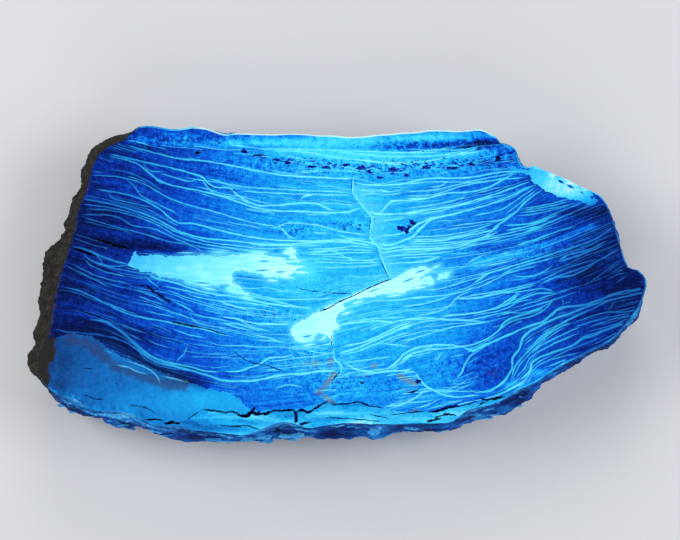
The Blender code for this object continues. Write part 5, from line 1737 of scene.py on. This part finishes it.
def strewnChips(side, shard, material):  # shards strewn over their ground by Geometry Nodes
    numbers = {
        "Density": edgeChips["perSquareMetre"], "Seed": edgeChips["seed"], "Smallest": edgeChips["smallest"],
        "Largest": edgeChips["largest"], "Slant": edgeChips["slant"],
    }
    tree, start, end, places = newNodeTree("scatterChips", numbers)
    given = start.outputs
    strewn = addNode(tree, "GeometryNodeDistributePointsOnFaces")
    link(tree, given["Geometry"], strewn.inputs["Mesh"])
    link(tree, given["Density"], strewn.inputs["Density"])
    link(tree, given["Seed"], strewn.inputs["Seed"])
    shardInfo = addNode(tree, "GeometryNodeObjectInfo")
    shardInfo.inputs["Object"].default_value = shard
    turned = addNode(tree, "FunctionNodeRandomValue", data_type="FLOAT_VECTOR")
    turned.inputs["Min"].default_value = (-1.0, -1.0, -1.0)
    link(tree, given["Seed"], turned.inputs["Seed"])
    sized = addNode(tree, "FunctionNodeRandomValue", data_type="FLOAT")
    link(tree, given["Smallest"], sized.inputs[2])
    link(tree, given["Largest"], sized.inputs[3])
    placed = addNode(tree, "GeometryNodeInstanceOnPoints")
    link(tree, strewn.outputs["Points"], placed.inputs["Points"])
    link(tree, shardInfo.outputs["Geometry"], placed.inputs["Instance"])
    link(tree, vectorNode(tree, "SCALE", turned.outputs[0], given["Slant"]), placed.inputs["Rotation"])
    link(tree, sized.outputs[1], placed.inputs["Scale"])
    finishTree(tree, placed.outputs[0], end, material)
    return runTree(chipGround(side), tree, places, numbers, "edgeChips")


def chips(side, material):
    shard = bpy.data.objects.new("shard", shardMesh())
    mesh = strewnChips(side, shard, material)
    addTracedChips(mesh, shard.data, side)
    bpy.data.objects.remove(shard)
    mesh.materials.clear()
    mesh.materials.append(material)
    mesh.polygons.foreach_set("material_index", np.zeros(len(mesh.polygons), np.int32))
    # The chips are painted fully pale, as lit from above
    saveValues(mesh, "worn", np.full(len(mesh.vertices), 1.0))
    saveValues(mesh, "rind", np.zeros(len(mesh.vertices)))
    made = bpy.data.objects.new("edgeChips", mesh)
    bpy.context.collection.objects.link(made)
    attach(made, "root")
    print("chips:", len(mesh.polygons), "triangles")


def slab():
    whole, polishEdge = wholeSide()
    broken = brokenStone()
    side = brokenSideMesh(whole, broken)
    print("side broken:", len(side.polygons), "triangles")
    mesh = slabMesh(side, polishEdge)
    inOrder = [polishedStone(), palePatchStone(), chalkyRindStone(), hollowStone(), broken, sawnStone()]
    for material in inOrder:
        mesh.materials.append(material)
    mesh.shade_smooth()
    mesh.set_sharp_from_angle(angle=brokenSide["sharpAngle"])
    piece = bpy.data.objects.new("petrifiedWood", mesh)
    bpy.context.collection.objects.link(piece)
    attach(piece, "root")
    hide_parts("petrified_wood")
    print("slab:", len(mesh.polygons), "triangles")
    chips(side, broken)


studio = {
    "floorReach": 1.2,  # metres from the slab's middle
    "floorColour": (0.62, 0.63, 0.65, 1.0),
    "floorRoughness": 0.9,
    "lights": {  # place in metres, width and watts; each points at the slab
        "leftSoft": ((-0.62, 0.1, 0.5), 0.5, 4.0),
        "rightSoft": ((0.62, -0.05, 0.5), 0.5, 3.5),
        "backSoft": ((0.0, 0.75, 0.42), 0.5, 2.6),
        "frontSoft": ((0.0, -0.72, 0.4), 0.5, 2.2),
    },
    "worldLight": 0.22,
    "worldColour": (0.9, 0.95, 1.0, 1.0),
    "target": (0.0006, 0.0027, 0.026),  # what the camera and the lights point at
    "tilt": math.radians(12),  # how far the camera leans from straight above
    "distance": 0.65,
    "lens": 114.7,
    "sensorWidth": 36.0,
    "nearest": 0.01,
}


def paleFloor():
    reach = studio["floorReach"]
    low = solidBox[0][2]
    mesh = bpy.data.meshes.new("floor")
    corners = [(-reach, -reach, low), (reach, -reach, low), (reach, reach, low), (-reach, reach, low)]
    mesh.from_pydata(corners, [], [(0, 1, 2, 3)])
    material, _, shader = newMaterial("paleFloor", studio["floorRoughness"])
    shader.inputs["Base Color"].default_value = studio["floorColour"]
    mesh.materials.append(material)
    floor = bpy.data.objects.new("floor", mesh)
    bpy.context.collection.objects.link(floor)


def lookingAt(place, target):
    return (Vector(target) - Vector(place)).to_track_quat("-Z", "Y").to_euler()


def softLights():
    for name, (place, width, watts) in studio["lights"].items():
        light = bpy.data.lights.new(name, "AREA")
        light.size = width
        light.energy = watts
        holder = bpy.data.objects.new(name, light)
        holder.location = place
        holder.rotation_euler = lookingAt(place, studio["target"])
        bpy.context.collection.objects.link(holder)
    world = bpy.data.worlds.new("paleRoom")
    world.use_nodes = True
    around = world.node_tree.nodes["Background"]
    around.inputs["Color"].default_value = studio["worldColour"]
    around.inputs["Strength"].default_value = studio["worldLight"]
    bpy.context.scene.world = world
    bpy.context.scene.view_settings.view_transform = "Standard"


def photoCamera():
    target = Vector(studio["target"])
    back = Vector((0, -math.sin(studio["tilt"]), math.cos(studio["tilt"])))
    camera = bpy.data.cameras.new("photoCamera")
    camera.lens = studio["lens"]
    camera.sensor_width = studio["sensorWidth"]
    camera.clip_start = studio["nearest"]
    holder = bpy.data.objects.new("photoCamera", camera)
    holder.location = target + back * studio["distance"]
    holder.rotation_euler = lookingAt(holder.location, target)
    bpy.context.collection.objects.link(holder)
    bpy.context.scene.camera = holder


photoCamera()
slab()
paleFloor()
softLights()
